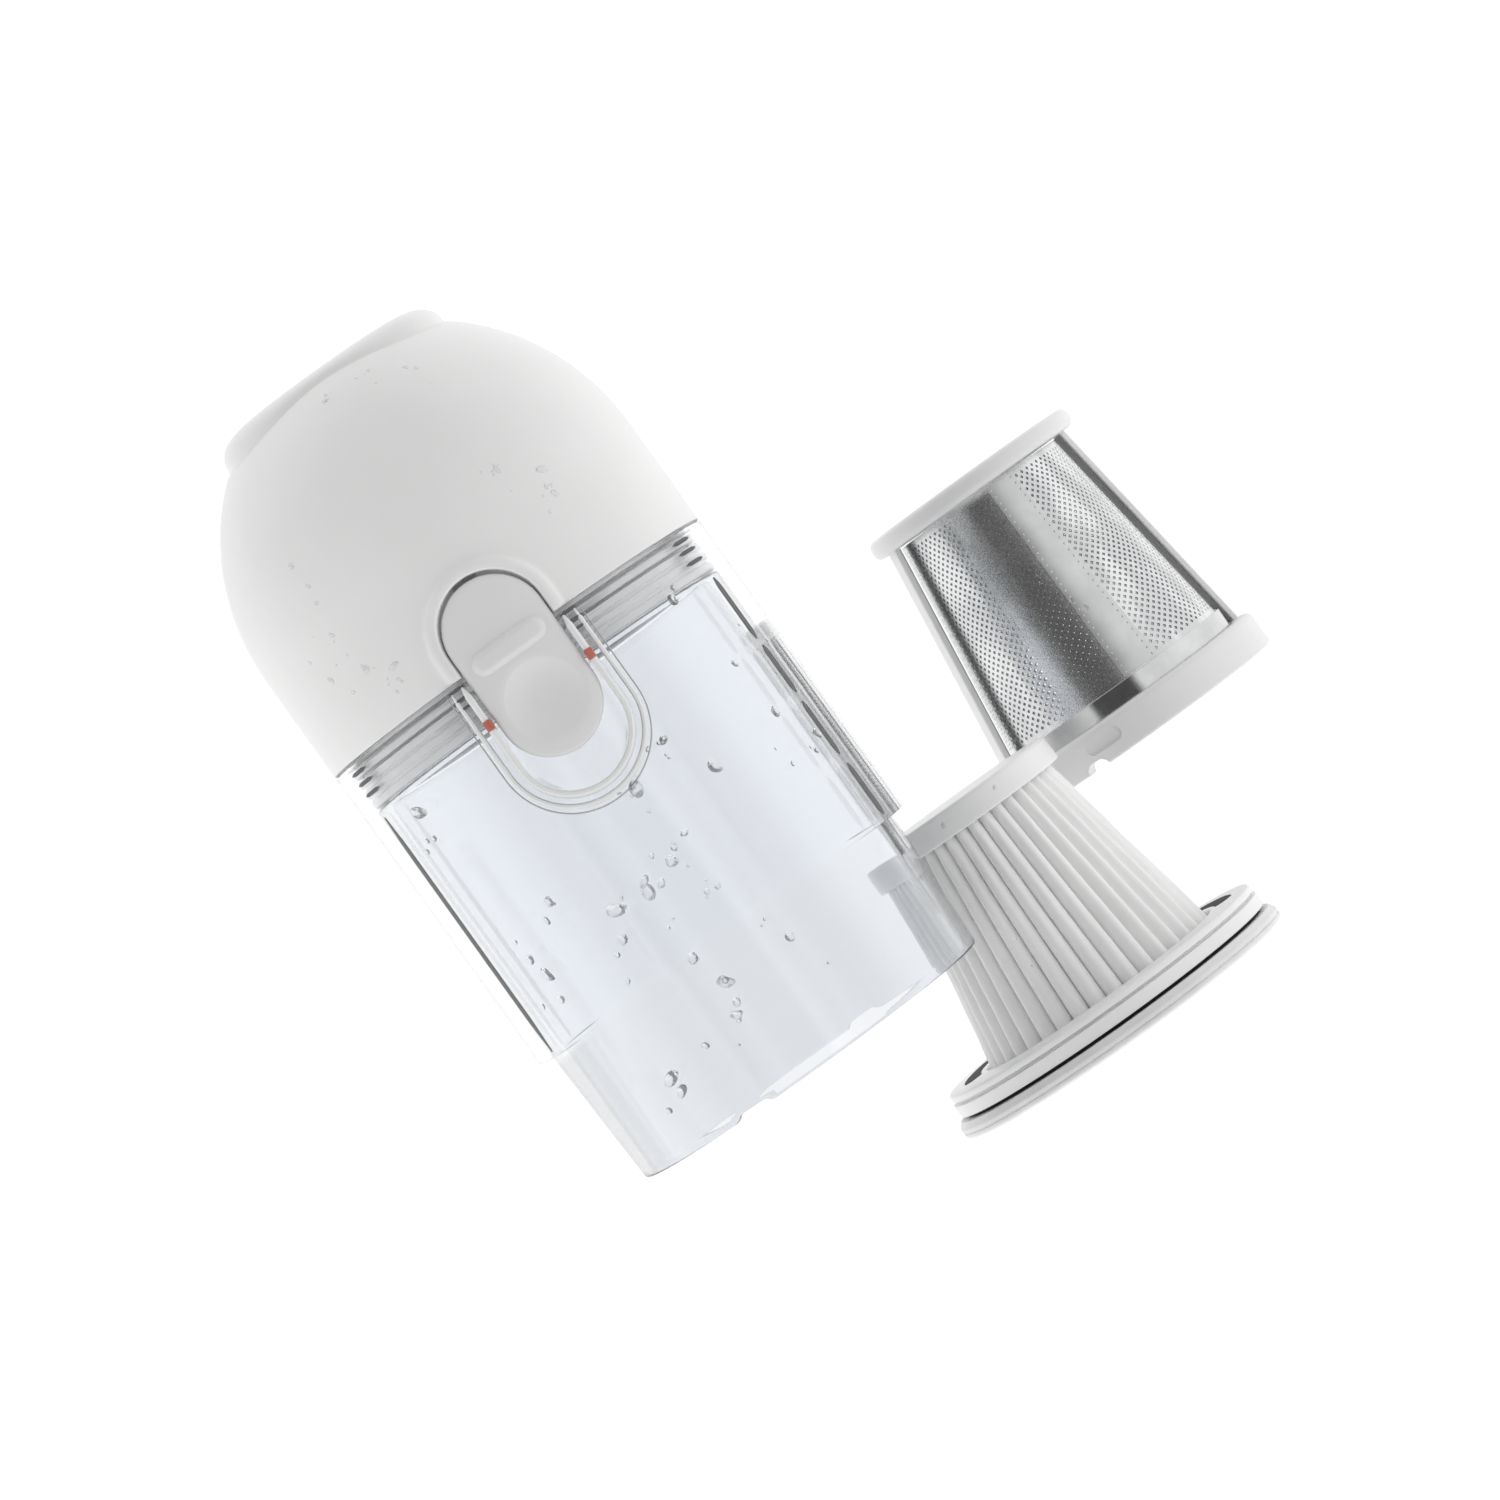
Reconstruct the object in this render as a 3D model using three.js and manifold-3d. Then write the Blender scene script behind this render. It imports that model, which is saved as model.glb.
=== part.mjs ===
// Round dust cup of a slim hand vacuum with its two filters laid beside it on the bench.
// Millimetres, +Z up, bench at z = 0. Each assembly is built along its own X axis with its
// front facing local +Z, then rolled about X and set down.
import * as THREE from 'three';
import { mergeVertices } from 'three/addons/utils/BufferGeometryUtils.js';
import Module from 'manifold-3d';

const wasm = await Module();
wasm.setup();

// Shared
const SIDES = 40; // facets round a large ring
const FACET = (2 * Math.PI) / SIDES;
const GAP = 0.3; // between pieces that touch
const ROLL = THREE.MathUtils.degToRad(36); // turn that faces the button to the front edge

// Cup
const BODY_R = 27.2;
const SHELL_WALL = 1.5;
const FRONT_WALL = 1.8;
const DOME_START = -14.4;
const DOME_LENGTH = 29;
const NOZZLE_FACE = -41;
const NOZZLE_HALF_WIDTH = 16;
const NOZZLE_HALF_DEPTH = 13.9;
const NOZZLE_WALL = 3.9;
const NOZZLE_ROUND = 2.8;
const CLEAR_END = 42.7;
const MOUTH = 61.4;
const CUP_R = 25.4;
const MOUTH_R = 24.7;
const CUP_BORE_R = 23.5;
const NECK_START = -4;
const NECK_END = 6;
const NECK_BORE_R = 21.8;

// Button, its slot and its catch
const SLOT_START = -9.5;
const SLOT_END = 19.2;
const SLOT_HALF = 6.68;
const RIM_HALF = 8.9;
const RIM_R = 27.75;
const BUTTON_START = -8.9;
const BUTTON_END = 14.6;
const BUTTON_HALF = 6.4;
const BUTTON_R = 27.3;
const BUTTON_UNDER_R = 25.9;
const CAM_SLOPE = 0.22;
const SPRING_Y = 4.2;
const SPRING_Z = 23.9;
const SPRING_R = 0.9;
const SPRING_WIRE = 0.2;

// Inlet and flap
const DUCT_START = -40.4;
const DUCT_END = -14;
const PIN_X = -12.6;
const PIN_Z = 11.4;
const PIN_R = 0.6;
const EAR_Y = 8.2;
const KNUCKLE_HALF = 6.6;

// Mesh filter
const MESH_CAP_START = 13.5;
const MESH_CAP_END = 16.2;
const MESH_CAP_R = 15.8;
const MESH_RING_START = 49.6;
const MESH_RING_END = 54.6;
const MESH_RING_R = 20;
const STRUT_TURN = -12; // degrees from the side facing +Y

// Pleated filter
const PLEATS = 38;
const PLEAT_CAP_START = 46.7;
const PLEAT_CAP_END = 49.9;
const FLANGE_START = 76.9;
const FLANGE_END = 82.6;
const FLANGE_R = 23.3;
const SEAL_R = 24.5;

// Where each axis lies
const CENTRE_X = 20.9;
const flat = (radius) => radius * Math.cos(FACET / 2);
const CUP_PLACE = new THREE.Vector3(-CENTRE_X, -36, flat(BODY_R));
const PLEATED_PLACE = new THREE.Vector3(-CENTRE_X, 8.1, flat(SEAL_R));
const MESH_PLACE = new THREE.Vector3(-CENTRE_X, 43.2, flat(MESH_RING_R));

const plastic = (color, roughness) => new THREE.MeshStandardMaterial({ color, roughness });
const steel = (roughness) => new THREE.MeshStandardMaterial({ color: 0xb9bcc0, roughness, metalness: 1 });
const whitePlastic = plastic(0xeeefef, 0.42);
const palePlastic = plastic(0xe3e4e4, 0.4);
const filterPlastic = plastic(0xeceded, 0.45);
const sealRubber = plastic(0xe6e6e6, 0.6);
const greyRubber = plastic(0xb8bcc0, 0.6);
const redPlastic = plastic(0xb5503f, 0.4);
const pleatedPaper = plastic(0xf1f0ee, 0.9);
const meshSteel = steel(0.3);
const springSteel = steel(0.35);
const clearPlastic = new THREE.MeshStandardMaterial({
  color: 0xe4eaf0,
  roughness: 0.08,
  transparent: true,
  opacity: 0.35,
});

// A closed geometry becomes a solid, with its faces turned outwards if they point in.
function solid(geometry) {
  const bare = geometry.clone();
  bare.deleteAttribute('normal');
  bare.deleteAttribute('uv');
  const merged = mergeVertices(bare, 1e-5);
  const points = merged.getAttribute('position').array;
  const corners = [];
  let volume = 0;
  for (let i = 0; i < merged.index.count; i += 3) {
    const [a, b, c] = [0, 1, 2].map((k) => merged.index.getX(i + k));
    if (a === b || b === c || c === a) continue;
    corners.push([a, b, c]);
    const [p, q, r] = [a, b, c].map((k) => new THREE.Vector3().fromArray(points, 3 * k));
    volume += p.dot(q.cross(r));
  }
  const order = volume > 0 ? [0, 1, 2] : [0, 2, 1];
  const triVerts = new Uint32Array(corners.flatMap((tri) => order.map((k) => tri[k])));
  const vertProperties = new Float32Array(points);
  return new wasm.Manifold(new wasm.Mesh({ numProp: 3, vertProperties, triVerts }));
}

function named(name, shape, material) {
  const { vertProperties, triVerts } = shape.getMesh();
  const geometry = new THREE.BufferGeometry();
  geometry.setAttribute('position', new THREE.BufferAttribute(new Float32Array(vertProperties), 3));
  geometry.setIndex(new THREE.BufferAttribute(new Uint32Array(triVerts), 1));
  geometry.computeVertexNormals();
  const mesh = new THREE.Mesh(geometry, material);
  mesh.name = name;
  return mesh;
}

// A profile of [x, radius] points turned about the X axis; it closes on itself or on the axis.
function turned(profile, sides = SIDES) {
  const points = profile.map(([x, radius]) => new THREE.Vector2(radius, x));
  if (profile[0][1] > 0) points.push(points[0].clone());
  const geometry = new THREE.LatheGeometry(points, sides, Math.PI / sides);
  return solid(geometry.rotateZ(-Math.PI / 2));
}

const tube = (start, end, outer, inner, sides) =>
  turned([[start, inner], [start, outer], [end, outer], [end, inner]], sides);

function box(x, y, z) {
  const geometry = new THREE.BoxGeometry(x[1] - x[0], y[1] - y[0], z[1] - z[0]);
  return solid(geometry.translate((x[0] + x[1]) / 2, (y[0] + y[1]) / 2, (z[0] + z[1]) / 2));
}

function rod(x, z, radius, halfLength, sides = 24) {
  return solid(new THREE.CylinderGeometry(radius, radius, 2 * halfLength, sides).translate(x, 0, z));
}

// A long hole outline with round ends, standing up along Z.
function stadium(start, end, half, bottom, top) {
  const outline = new THREE.Shape();
  outline.moveTo(start + half, -half);
  outline.lineTo(end - half, -half);
  outline.absarc(end - half, 0, half, -Math.PI / 2, Math.PI / 2);
  outline.lineTo(start + half, half);
  outline.absarc(start + half, 0, half, Math.PI / 2, (3 * Math.PI) / 2);
  const depth = top - bottom;
  return solid(new THREE.ExtrudeGeometry(outline, { depth, bevelEnabled: false, curveSegments: 10 })
    .translate(0, 0, bottom));
}

// A squarish oval section: the nozzle's, the duct's and the flap's.
function oval(rings, sides = 40) {
  const squareness = 2.5;
  const points = rings.map(([x, width]) => new THREE.Vector2(width, x));
  if (rings[0][1] > 0) points.push(points[0].clone());
  const geometry = new THREE.LatheGeometry(points, sides).rotateZ(-Math.PI / 2);
  const position = geometry.getAttribute('position');
  for (let i = 0; i < position.count; i += 1) {
    const y = position.getY(i);
    const z = position.getZ(i);
    const width = Math.hypot(y, z);
    if (width < 1e-6) continue;
    const depth = width - (NOZZLE_HALF_WIDTH - NOZZLE_HALF_DEPTH);
    const c = Math.abs(y / width) ** (2 / squareness) * Math.sign(y);
    const s = Math.abs(z / width) ** (2 / squareness) * Math.sign(z);
    position.setY(i, width * c);
    position.setZ(i, depth * s);
  }
  return solid(geometry);
}

// Front shell

function domeProfile(radius, length, from, steps) {
  const profile = [];
  for (let i = 0; i <= steps; i += 1) {
    const angle = from + ((Math.PI / 2 - from) * i) / steps;
    profile.push([DOME_START - length * Math.cos(angle), radius * Math.sin(angle)]);
  }
  return profile;
}

function nozzleCollar() {
  const root = -35.5;
  const bore = NOZZLE_HALF_WIDTH - NOZZLE_WALL;
  const rings = [[root, bore], [root, NOZZLE_HALF_WIDTH]];
  const steps = 4;
  for (let i = 0; i <= steps; i += 1) {
    const angle = (Math.PI * i) / (2 * steps);
    const x = NOZZLE_FACE + NOZZLE_ROUND * (1 - Math.sin(angle));
    rings.push([x, NOZZLE_HALF_WIDTH - NOZZLE_ROUND * (1 - Math.cos(angle))]);
  }
  return oval([...rings, [NOZZLE_FACE, bore]]);
}

function frontShell() {
  const lip = 0.37; // radians from the dome's tip, inside the collar
  const seam = -GAP / 2;
  const outside = domeProfile(BODY_R, DOME_LENGTH, lip, 10);
  const bore = BODY_R - FRONT_WALL;
  const inside = domeProfile(bore, DOME_LENGTH - FRONT_WALL, lip, 6).reverse();
  const dome = turned([...outside, [seam, BODY_R], [seam, bore], ...inside]);
  const through = NOZZLE_HALF_WIDTH - 0.8;
  const opening = oval([[-50, 0], [-50, through], [-30, through], [-30, 0]]);
  const slot = stadium(SLOT_START, SLOT_END, SLOT_HALF, 20, 30);
  const rim = stadium(SLOT_START - 1.3, SLOT_END, 8.1, 20, 30)
    .intersect(tube(-20, seam, RIM_R, bore + 0.4));
  const bar = box([-8.9, -7.4], [-7.7, 7.7], [23.9, 24.7]);
  return dome.subtract(opening).add(nozzleCollar()).add(rim).subtract(slot).add(bar);
}

// Inlet duct with its hinge ears, and the flap on its pin

function inletDuct() {
  const outer = NOZZLE_HALF_WIDTH - NOZZLE_WALL - GAP;
  const bore = outer - 1.4;
  const walls = oval([[DUCT_START, bore], [DUCT_START, outer], [DUCT_END, outer], [DUCT_END, bore]]);
  const eye = rod(PIN_X, PIN_Z, PIN_R + 0.15, 12);
  let duct = walls;
  for (const side of [-1, 1]) {
    const y = [side * EAR_Y - 0.8, side * EAR_Y + 0.8];
    duct = duct.add(box([-17, -11.4], y, [6.5, PIN_Z + 1.2]));
  }
  return duct.subtract(eye).subtract(oval([[-18, 0], [-18, bore], [-10, bore], [-10, 0]]));
}

function inletFlap() {
  const face = DUCT_END + GAP;
  const wide = 11.8;
  const plate = oval([[face, 0], [face, wide], [face + 0.9, wide], [face + 0.9, 0]])
    .subtract(box([face - 1, face + 2], [-20, -7], [6.1, 20]))
    .subtract(box([face - 1, face + 2], [7, 20], [6.1, 20]));
  const web = box([face, face + 0.9], [-KNUCKLE_HALF, KNUCKLE_HALF], [8, PIN_Z]);
  const knuckle = rod(PIN_X, PIN_Z, 1.1, KNUCKLE_HALF);
  return plate.add(web).add(knuckle).subtract(rod(PIN_X, PIN_Z, PIN_R + 0.15, 12));
}

// Neck: the clear joining ring, its seal and the spring pockets

function neckRing() {
  let ring = turned([
    [NECK_START, NECK_BORE_R], [NECK_START, 25.1], [0.4, 25.1], [0.7, 24.1], [2.1, 24.1],
    [2.1, CUP_R], [NECK_END, CUP_R], [NECK_END, NECK_BORE_R],
  ]);
  ring = ring.subtract(box([-5, 3.4], [-2.1, 2.1], [20, 27]));
  for (const side of [-1, 1]) {
    const y = [side * SPRING_Y - 1.3, side * SPRING_Y + 1.3];
    ring = ring.subtract(box([-5, 4.8], y, [22.5, 27]));
  }
  return ring;
}

function neckSeal() {
  const ring = tube(0.85, 1.8, 25.3, 24.35);
  return ring.subtract(box([-2, 4], [-5.9, 5.9], [20, 27]));
}

// Clear shell with the raised rim of the slot, and the clear cup inside it

function slotNotches() {
  const left = box([5.2, 7.4], [-7.8, -6], [25, 28.5]);
  return left.add(box([5.2, 7.4], [6, 7.8], [25, 28.5]));
}

function outerShell() {
  const bore = BODY_R - SHELL_WALL;
  const seam = GAP / 2;
  const wall = turned([
    [seam, bore], [seam, BODY_R], [CLEAR_END - 0.5, BODY_R], [CLEAR_END, BODY_R - 0.5],
    [CLEAR_END, bore],
  ]);
  const rim = stadium(SLOT_START, SLOT_END + 2.3, RIM_HALF, 20, 30)
    .intersect(tube(seam, 30, RIM_R, bore));
  const slot = stadium(SLOT_START, SLOT_END, SLOT_HALF, 20, 30);
  return wall.add(rim).subtract(slot).subtract(slotNotches());
}

function innerCup() {
  const start = NECK_END + GAP;
  let cup = turned([
    [start, CUP_BORE_R], [start, CUP_R], [CLEAR_END + 1, CUP_R], [MOUTH - 0.4, MOUTH_R],
    [MOUTH, MOUTH_R - 0.4], [MOUTH, CUP_BORE_R],
  ]);
  for (const degrees of [-20, 160]) {
    const turn = -degrees - 90;
    cup = cup.subtract(box([MOUTH - 0.7, MOUTH + 2], [20, 28], [-2.3, 2.3]).rotate([turn, 0, 0]));
  }
  return cup;
}

const lockMark = (side) => {
  const y = side * 7.1;
  return box([5.55, 7.05], [y - 0.35, y + 0.35], [25.85, 26.7]);
};

// Button: a curved plate with a grip bar and a thumb dish, two spring legs and a cam lug

function releaseButton() {
  const outline = stadium(BUTTON_START, BUTTON_END, BUTTON_HALF, 20, 30);
  const plate = outline.intersect(tube(-20, 30, BUTTON_R, BUTTON_UNDER_R));
  const bar = stadium(-5, 5, 1.4, 20, 30).rotate([0, 0, 90]).translate([0.1, 0, 0])
    .intersect(tube(-20, 30, BUTTON_R + 0.6, BUTTON_UNDER_R));
  const dish = solid(new THREE.SphereGeometry(17, 60, 40).translate(7.5, 0, BUTTON_R + 16));
  let button = plate.add(bar).subtract(dish);
  for (const side of [-1, 1]) {
    const y = side * SPRING_Y;
    button = button.add(box([-4.5, -3.2], [y - 1, y + 1], [22.9, 26.2]));
  }
  return button.add(box([-4.4, -2.8], [-1.4, 1.4], [24.4, 26.4]));
}

function latchHook() {
  const side = new THREE.Shape();
  side.moveTo(-10.6, 22.2);
  side.lineTo(2.6, 22.2);
  side.lineTo(2.6, 25.3);
  side.lineTo(2.05, 25.3);
  side.lineTo(-2.5, 25.3 - 4.55 * CAM_SLOPE);
  side.lineTo(-2.5, 23.1);
  side.lineTo(-9.4, 23.1);
  side.lineTo(-9.4, 23.6);
  side.lineTo(-10.6, 23.6);
  const geometry = new THREE.ExtrudeGeometry(side, { depth: 3.4, bevelEnabled: false });
  return solid(geometry.translate(0, 0, -1.7).rotateX(Math.PI / 2));
}

function returnSpring(side) {
  const turns = 5;
  const from = -2.8;
  const to = 4.4;
  const path = [];
  const steps = turns * 8;
  for (let i = 0; i <= steps; i += 1) {
    const angle = (2 * Math.PI * turns * i) / steps;
    const x = from + ((to - from) * i) / steps;
    path.push(new THREE.Vector3(x, SPRING_R * Math.cos(angle), SPRING_R * Math.sin(angle)));
  }
  const wire = new THREE.Shape();
  wire.absarc(0, 0, SPRING_WIRE, 0, 2 * Math.PI);
  const geometry = new THREE.ExtrudeGeometry(wire, {
    steps,
    bevelEnabled: false,
    curveSegments: 3,
    extrudePath: new THREE.CatmullRomCurve3(path),
  });
  return solid(geometry.translate(0, side * SPRING_Y, SPRING_Z));
}

// Mesh filter: the moulded frame, the steel cone and its plain collar

const strutR = (x) => 14.4 + (x - 17.6) * 0.137;

function strut(degrees) {
  const from = 15;
  const to = 50.5;
  const side = new THREE.Shape();
  side.moveTo(from, strutR(from) - 1.1);
  side.lineTo(to, strutR(to) - 1.1);
  side.lineTo(to, strutR(to));
  side.lineTo(from, strutR(from));
  const geometry = new THREE.ExtrudeGeometry(side, { depth: 3, bevelEnabled: false });
  return solid(geometry.translate(0, 0, -1.5).rotateX(THREE.MathUtils.degToRad(degrees)));
}

function meshFrame() {
  const cap = turned([
    [MESH_CAP_START, 0], [MESH_CAP_START, MESH_CAP_R - 1], [MESH_CAP_START + 0.35, MESH_CAP_R - 0.3],
    [MESH_CAP_START + 1, MESH_CAP_R], [MESH_CAP_END - 0.9, MESH_CAP_R],
    [MESH_CAP_END, MESH_CAP_R - 0.8], [MESH_CAP_END, 0],
  ]);
  const bore = 17.4;
  const ring = turned([
    [MESH_RING_START, bore], [MESH_RING_START, MESH_RING_R - 1],
    [MESH_RING_START + 0.9, MESH_RING_R], [MESH_RING_END - 0.4, MESH_RING_R],
    [MESH_RING_END, MESH_RING_R - 0.4], [MESH_RING_END, bore],
  ]);
  let frame = cap.add(ring).add(strut(STRUT_TURN)).add(strut(STRUT_TURN + 180));
  frame = frame.subtract(turned([[40, 0], [40, bore], [60, bore], [60, 0]]));
  for (const turn of [0, 180]) {
    const recess = stadium(-2.7, 2.7, 1, 19.2, 21).rotate([0, 0, 90])
      .translate([MESH_RING_START + 2.2, 0, 0]).rotate([19 + turn, 0, 0]);
    const entry = stadium(MESH_RING_END - 1, MESH_RING_END + 3, 0.9, 16, 21)
      .rotate([26 + turn, 0, 0]);
    frame = frame.subtract(recess).subtract(entry);
  }
  return frame;
}

const meshCone = () => turned([[16.5, 11.95], [16.5, 12.3], [46.7, 16.35], [46.7, 16]]);
const meshCollar = () => tube(47, 53.6, 16.95, 16.6);

// Pleated filter: cap, folded media, cage inside it, slotted flange and seal

function pleatCap() {
  const cap = turned([
    [46.3, 0], [46.4, 8], [PLEAT_CAP_START, 11.6], [PLEAT_CAP_START + 0.6, 12.4],
    [PLEAT_CAP_END - 0.6, 13.2], [PLEAT_CAP_END, 13], [PLEAT_CAP_END, 0],
  ]);
  return cap.subtract(tube(48.3, 51, 12.1, 6.6));
}

function pleatRing(x, outer, inner) {
  const points = [];
  for (let i = 0; i < 2 * PLEATS; i += 1) {
    const radius = i % 2 === 0 ? outer : inner;
    const angle = (Math.PI * i) / PLEATS;
    points.push([x, radius * Math.cos(angle), radius * Math.sin(angle)]);
  }
  return points;
}

function pleatMedia() {
  const start = 48.7;
  const end = 77.6;
  const outerR = (x) => 11.73 + (x - PLEAT_CAP_END) * 0.186;
  const rings = [
    pleatRing(start, outerR(start), outerR(start) - 2.9),
    pleatRing(end, outerR(end), outerR(end) - 3.3),
    pleatRing(end, outerR(end) - 0.9, outerR(end) - 3.9),
    pleatRing(start, outerR(start) - 0.9, outerR(start) - 3.5),
  ];
  const count = 2 * PLEATS;
  const index = [];
  for (let r = 0; r < rings.length; r += 1) {
    const next = (r + 1) % rings.length;
    for (let i = 0; i < count; i += 1) {
      const j = (i + 1) % count;
      const [a, b, c, d] = [r * count + i, r * count + j, next * count + j, next * count + i];
      index.push(a, b, c, a, c, d);
    }
  }
  const geometry = new THREE.BufferGeometry();
  geometry.setAttribute('position', new THREE.Float32BufferAttribute(rings.flat(2), 3));
  geometry.setIndex(index);
  return solid(geometry);
}

function pleatCage() {
  const windows = 6;
  let cage = turned([[48.7, 6.9], [48.7, 7.7], [78, 12.6], [78, 11.6]], 36);
  for (let i = 0; i < windows; i += 1) {
    for (const x of [[52, 61.5], [64, 74.5]]) {
      cage = cage.subtract(box(x, [4, 16], [-2.4, 2.4]).rotate([(360 * i) / windows, 0, 0]));
    }
  }
  return cage;
}

// An arc-shaped prism along X: the flange's two slots.
function arcSlot(degrees, halfSpan) {
  const mid = THREE.MathUtils.degToRad(degrees);
  const half = THREE.MathUtils.degToRad(halfSpan);
  const outline = new THREE.Shape();
  outline.absarc(0, 0, 20.8, mid - half, mid + half);
  outline.absarc(0, 0, 18.2, mid + half, mid - half, true);
  const geometry = new THREE.ExtrudeGeometry(outline, { depth: 12, bevelEnabled: false });
  return solid(geometry.rotateX(Math.PI / 2).rotateZ(Math.PI / 2).translate(74, 0, 0));
}

function pleatFlange() {
  const bore = 13;
  const hub = 17.4;
  const flange = turned([
    [78.4, bore], [78.4, hub], [FLANGE_START, hub], [FLANGE_START, FLANGE_R - 0.4],
    [FLANGE_START + 0.3, FLANGE_R], [78, FLANGE_R], [78.1, FLANGE_R - 0.5], [78.4, FLANGE_R - 0.5],
    [78.5, FLANGE_R + 0.2], [80, FLANGE_R + 0.2], [80.2, 21.9], [FLANGE_END, 21.9],
    [FLANGE_END, bore],
  ]);
  return flange.subtract(arcSlot(-15, 22)).subtract(arcSlot(195, 22));
}

const sealRing = () => turned([
  [81.1, 22.2], [80.9, 23.9], [81.2, 24.3], [81.7, SEAL_R], [82.2, SEAL_R], [82.6, 24.2],
  [82.8, 23.6], [82.8, 22.2],
]);

function assembly(place, parts) {
  const group = new THREE.Group();
  group.position.copy(place);
  group.rotation.x = ROLL;
  for (const [name, shape, material] of parts) {
    group.add(named(name, shape, material));
  }
  return group;
}

const dustCup = assembly(CUP_PLACE, [
  ['front_shell', frontShell(), whitePlastic],
  ['inlet_duct', inletDuct(), palePlastic],
  ['inlet_flap', inletFlap(), greyRubber],
  ['flap_pin', rod(PIN_X, PIN_Z, PIN_R, 9.2, 16), springSteel],
  ['neck_ring', neckRing(), clearPlastic],
  ['neck_seal', neckSeal(), greyRubber],
  ['outer_shell', outerShell(), clearPlastic],
  ['inner_cup', innerCup(), clearPlastic],
  ['lock_mark_left', lockMark(-1), redPlastic],
  ['lock_mark_right', lockMark(1), redPlastic],
  ['release_button', releaseButton(), palePlastic],
  ['latch_hook', latchHook(), palePlastic],
  ['return_spring_left', returnSpring(-1), springSteel],
  ['return_spring_right', returnSpring(1), springSteel],
]);

const meshFilter = assembly(MESH_PLACE, [
  ['mesh_frame', meshFrame(), filterPlastic],
  ['mesh_cone', meshCone(), meshSteel],
  ['mesh_collar', meshCollar(), meshSteel],
]);

const pleatedFilter = assembly(PLEATED_PLACE, [
  ['pleat_cap', pleatCap(), filterPlastic],
  ['pleat_media', pleatMedia(), pleatedPaper],
  ['pleat_cage', pleatCage(), filterPlastic],
  ['pleat_flange', pleatFlange(), filterPlastic],
  ['seal_ring', sealRing(), sealRubber],
]);

const part = new THREE.Group();
part.add(dustCup, meshFilter, pleatedFilter);
export default part;
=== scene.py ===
import math
import random

import bmesh
import bpy
from mathutils import Matrix, Vector
from mathutils.bvhtree import BVHTree
from mathutils.geometry import delaunay_2d_cdt


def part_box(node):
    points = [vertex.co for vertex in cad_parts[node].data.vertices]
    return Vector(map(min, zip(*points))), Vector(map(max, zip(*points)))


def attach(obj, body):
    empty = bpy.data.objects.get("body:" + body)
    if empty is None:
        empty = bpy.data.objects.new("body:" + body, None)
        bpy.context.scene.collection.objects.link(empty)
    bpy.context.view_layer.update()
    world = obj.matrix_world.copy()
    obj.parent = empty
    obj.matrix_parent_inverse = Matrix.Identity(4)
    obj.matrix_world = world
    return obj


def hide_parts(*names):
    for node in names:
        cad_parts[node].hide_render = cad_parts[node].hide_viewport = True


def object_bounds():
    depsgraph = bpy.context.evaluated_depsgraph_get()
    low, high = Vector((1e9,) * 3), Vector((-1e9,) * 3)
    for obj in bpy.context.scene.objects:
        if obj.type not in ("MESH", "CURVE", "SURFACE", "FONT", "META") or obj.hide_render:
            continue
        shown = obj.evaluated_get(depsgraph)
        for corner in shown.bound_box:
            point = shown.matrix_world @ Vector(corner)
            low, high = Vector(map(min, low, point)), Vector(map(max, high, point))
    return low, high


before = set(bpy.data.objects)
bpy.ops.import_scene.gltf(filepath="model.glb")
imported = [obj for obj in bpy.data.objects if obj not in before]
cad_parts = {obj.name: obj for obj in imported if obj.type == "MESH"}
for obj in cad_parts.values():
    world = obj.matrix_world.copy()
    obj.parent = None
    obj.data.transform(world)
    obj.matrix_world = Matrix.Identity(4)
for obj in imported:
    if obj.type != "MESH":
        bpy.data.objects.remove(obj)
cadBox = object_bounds()
scene = bpy.context.scene

mm = 0.001
roll = math.radians(36)  # every axis is turned this far, so the button faces forward and up
gap = 0.3  # mm between pieces that touch


# Where the three pieces lie: a local frame in mm, X along the axis, Z out through the button
def seatOf(roundNode, edgeNode, edgeX):
    low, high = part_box(roundNode)
    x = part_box(edgeNode)[0].x - edgeX * mm
    place = Matrix.Translation((x, (low.y + high.y) / 2, (low.z + high.z) / 2))
    return place @ Matrix.Rotation(roll, 4, "X")


cupSeat = seatOf("inner_cup", "outer_shell", gap / 2)
meshSeat = seatOf("mesh_cone", "mesh_cone", 16.5)
pleatSeat = seatOf("seal_ring", "pleat_cap", 46.3)
print("seats", cupSeat.translation, meshSeat.translation, pleatSeat.translation)


def addObject(name, data):
    thing = bpy.data.objects.new(name, data)
    scene.collection.objects.link(thing)
    return thing


# Camera
cameraSetup = {
    "lens": 129.6,  # mm, on a 36 mm sensor
    "along": 26.38,  # mm, aim point behind the seam
    "across": 15.9,  # mm, aim point from the cup's axis towards the filters
    "distance": 658.3,  # mm
    "turn": 54.4,  # degrees about the line of sight
}


def makeCamera():
    setup = cameraSetup
    data = bpy.data.cameras.new("camera")
    data.lens = setup["lens"]
    data.sensor_width = 36
    data.clip_end = 20
    camera = addObject("camera", data)
    spot = Vector((setup["along"], setup["across"], setup["distance"])) * mm
    turn = Matrix.Rotation(math.radians(setup["turn"]), 4, "Z")
    camera.matrix_world = cupSeat @ Matrix.Translation(spot) @ turn
    scene.camera = camera
    print("camera at", camera.matrix_world.translation)


# Shader maths: a Wire is one output socket that ordinary arithmetic works on
class Wire:
    def __init__(self, bench, socket):
        self.bench = bench
        self.socket = socket

    def maths(self, operation, first, second=None):
        sockets = {0: first} if second is None else {0: first, 1: second}
        return self.bench.add("Math", {"operation": operation}, sockets)

    def __add__(self, other):
        return self.maths("ADD", self, other)

    def __radd__(self, other):
        return self.maths("ADD", other, self)

    def __sub__(self, other):
        return self.maths("SUBTRACT", self, other)

    def __rsub__(self, other):
        return self.maths("SUBTRACT", other, self)

    def __mul__(self, other):
        return self.maths("MULTIPLY", self, other)

    def __abs__(self):
        return self.maths("ABSOLUTE", self)


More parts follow.
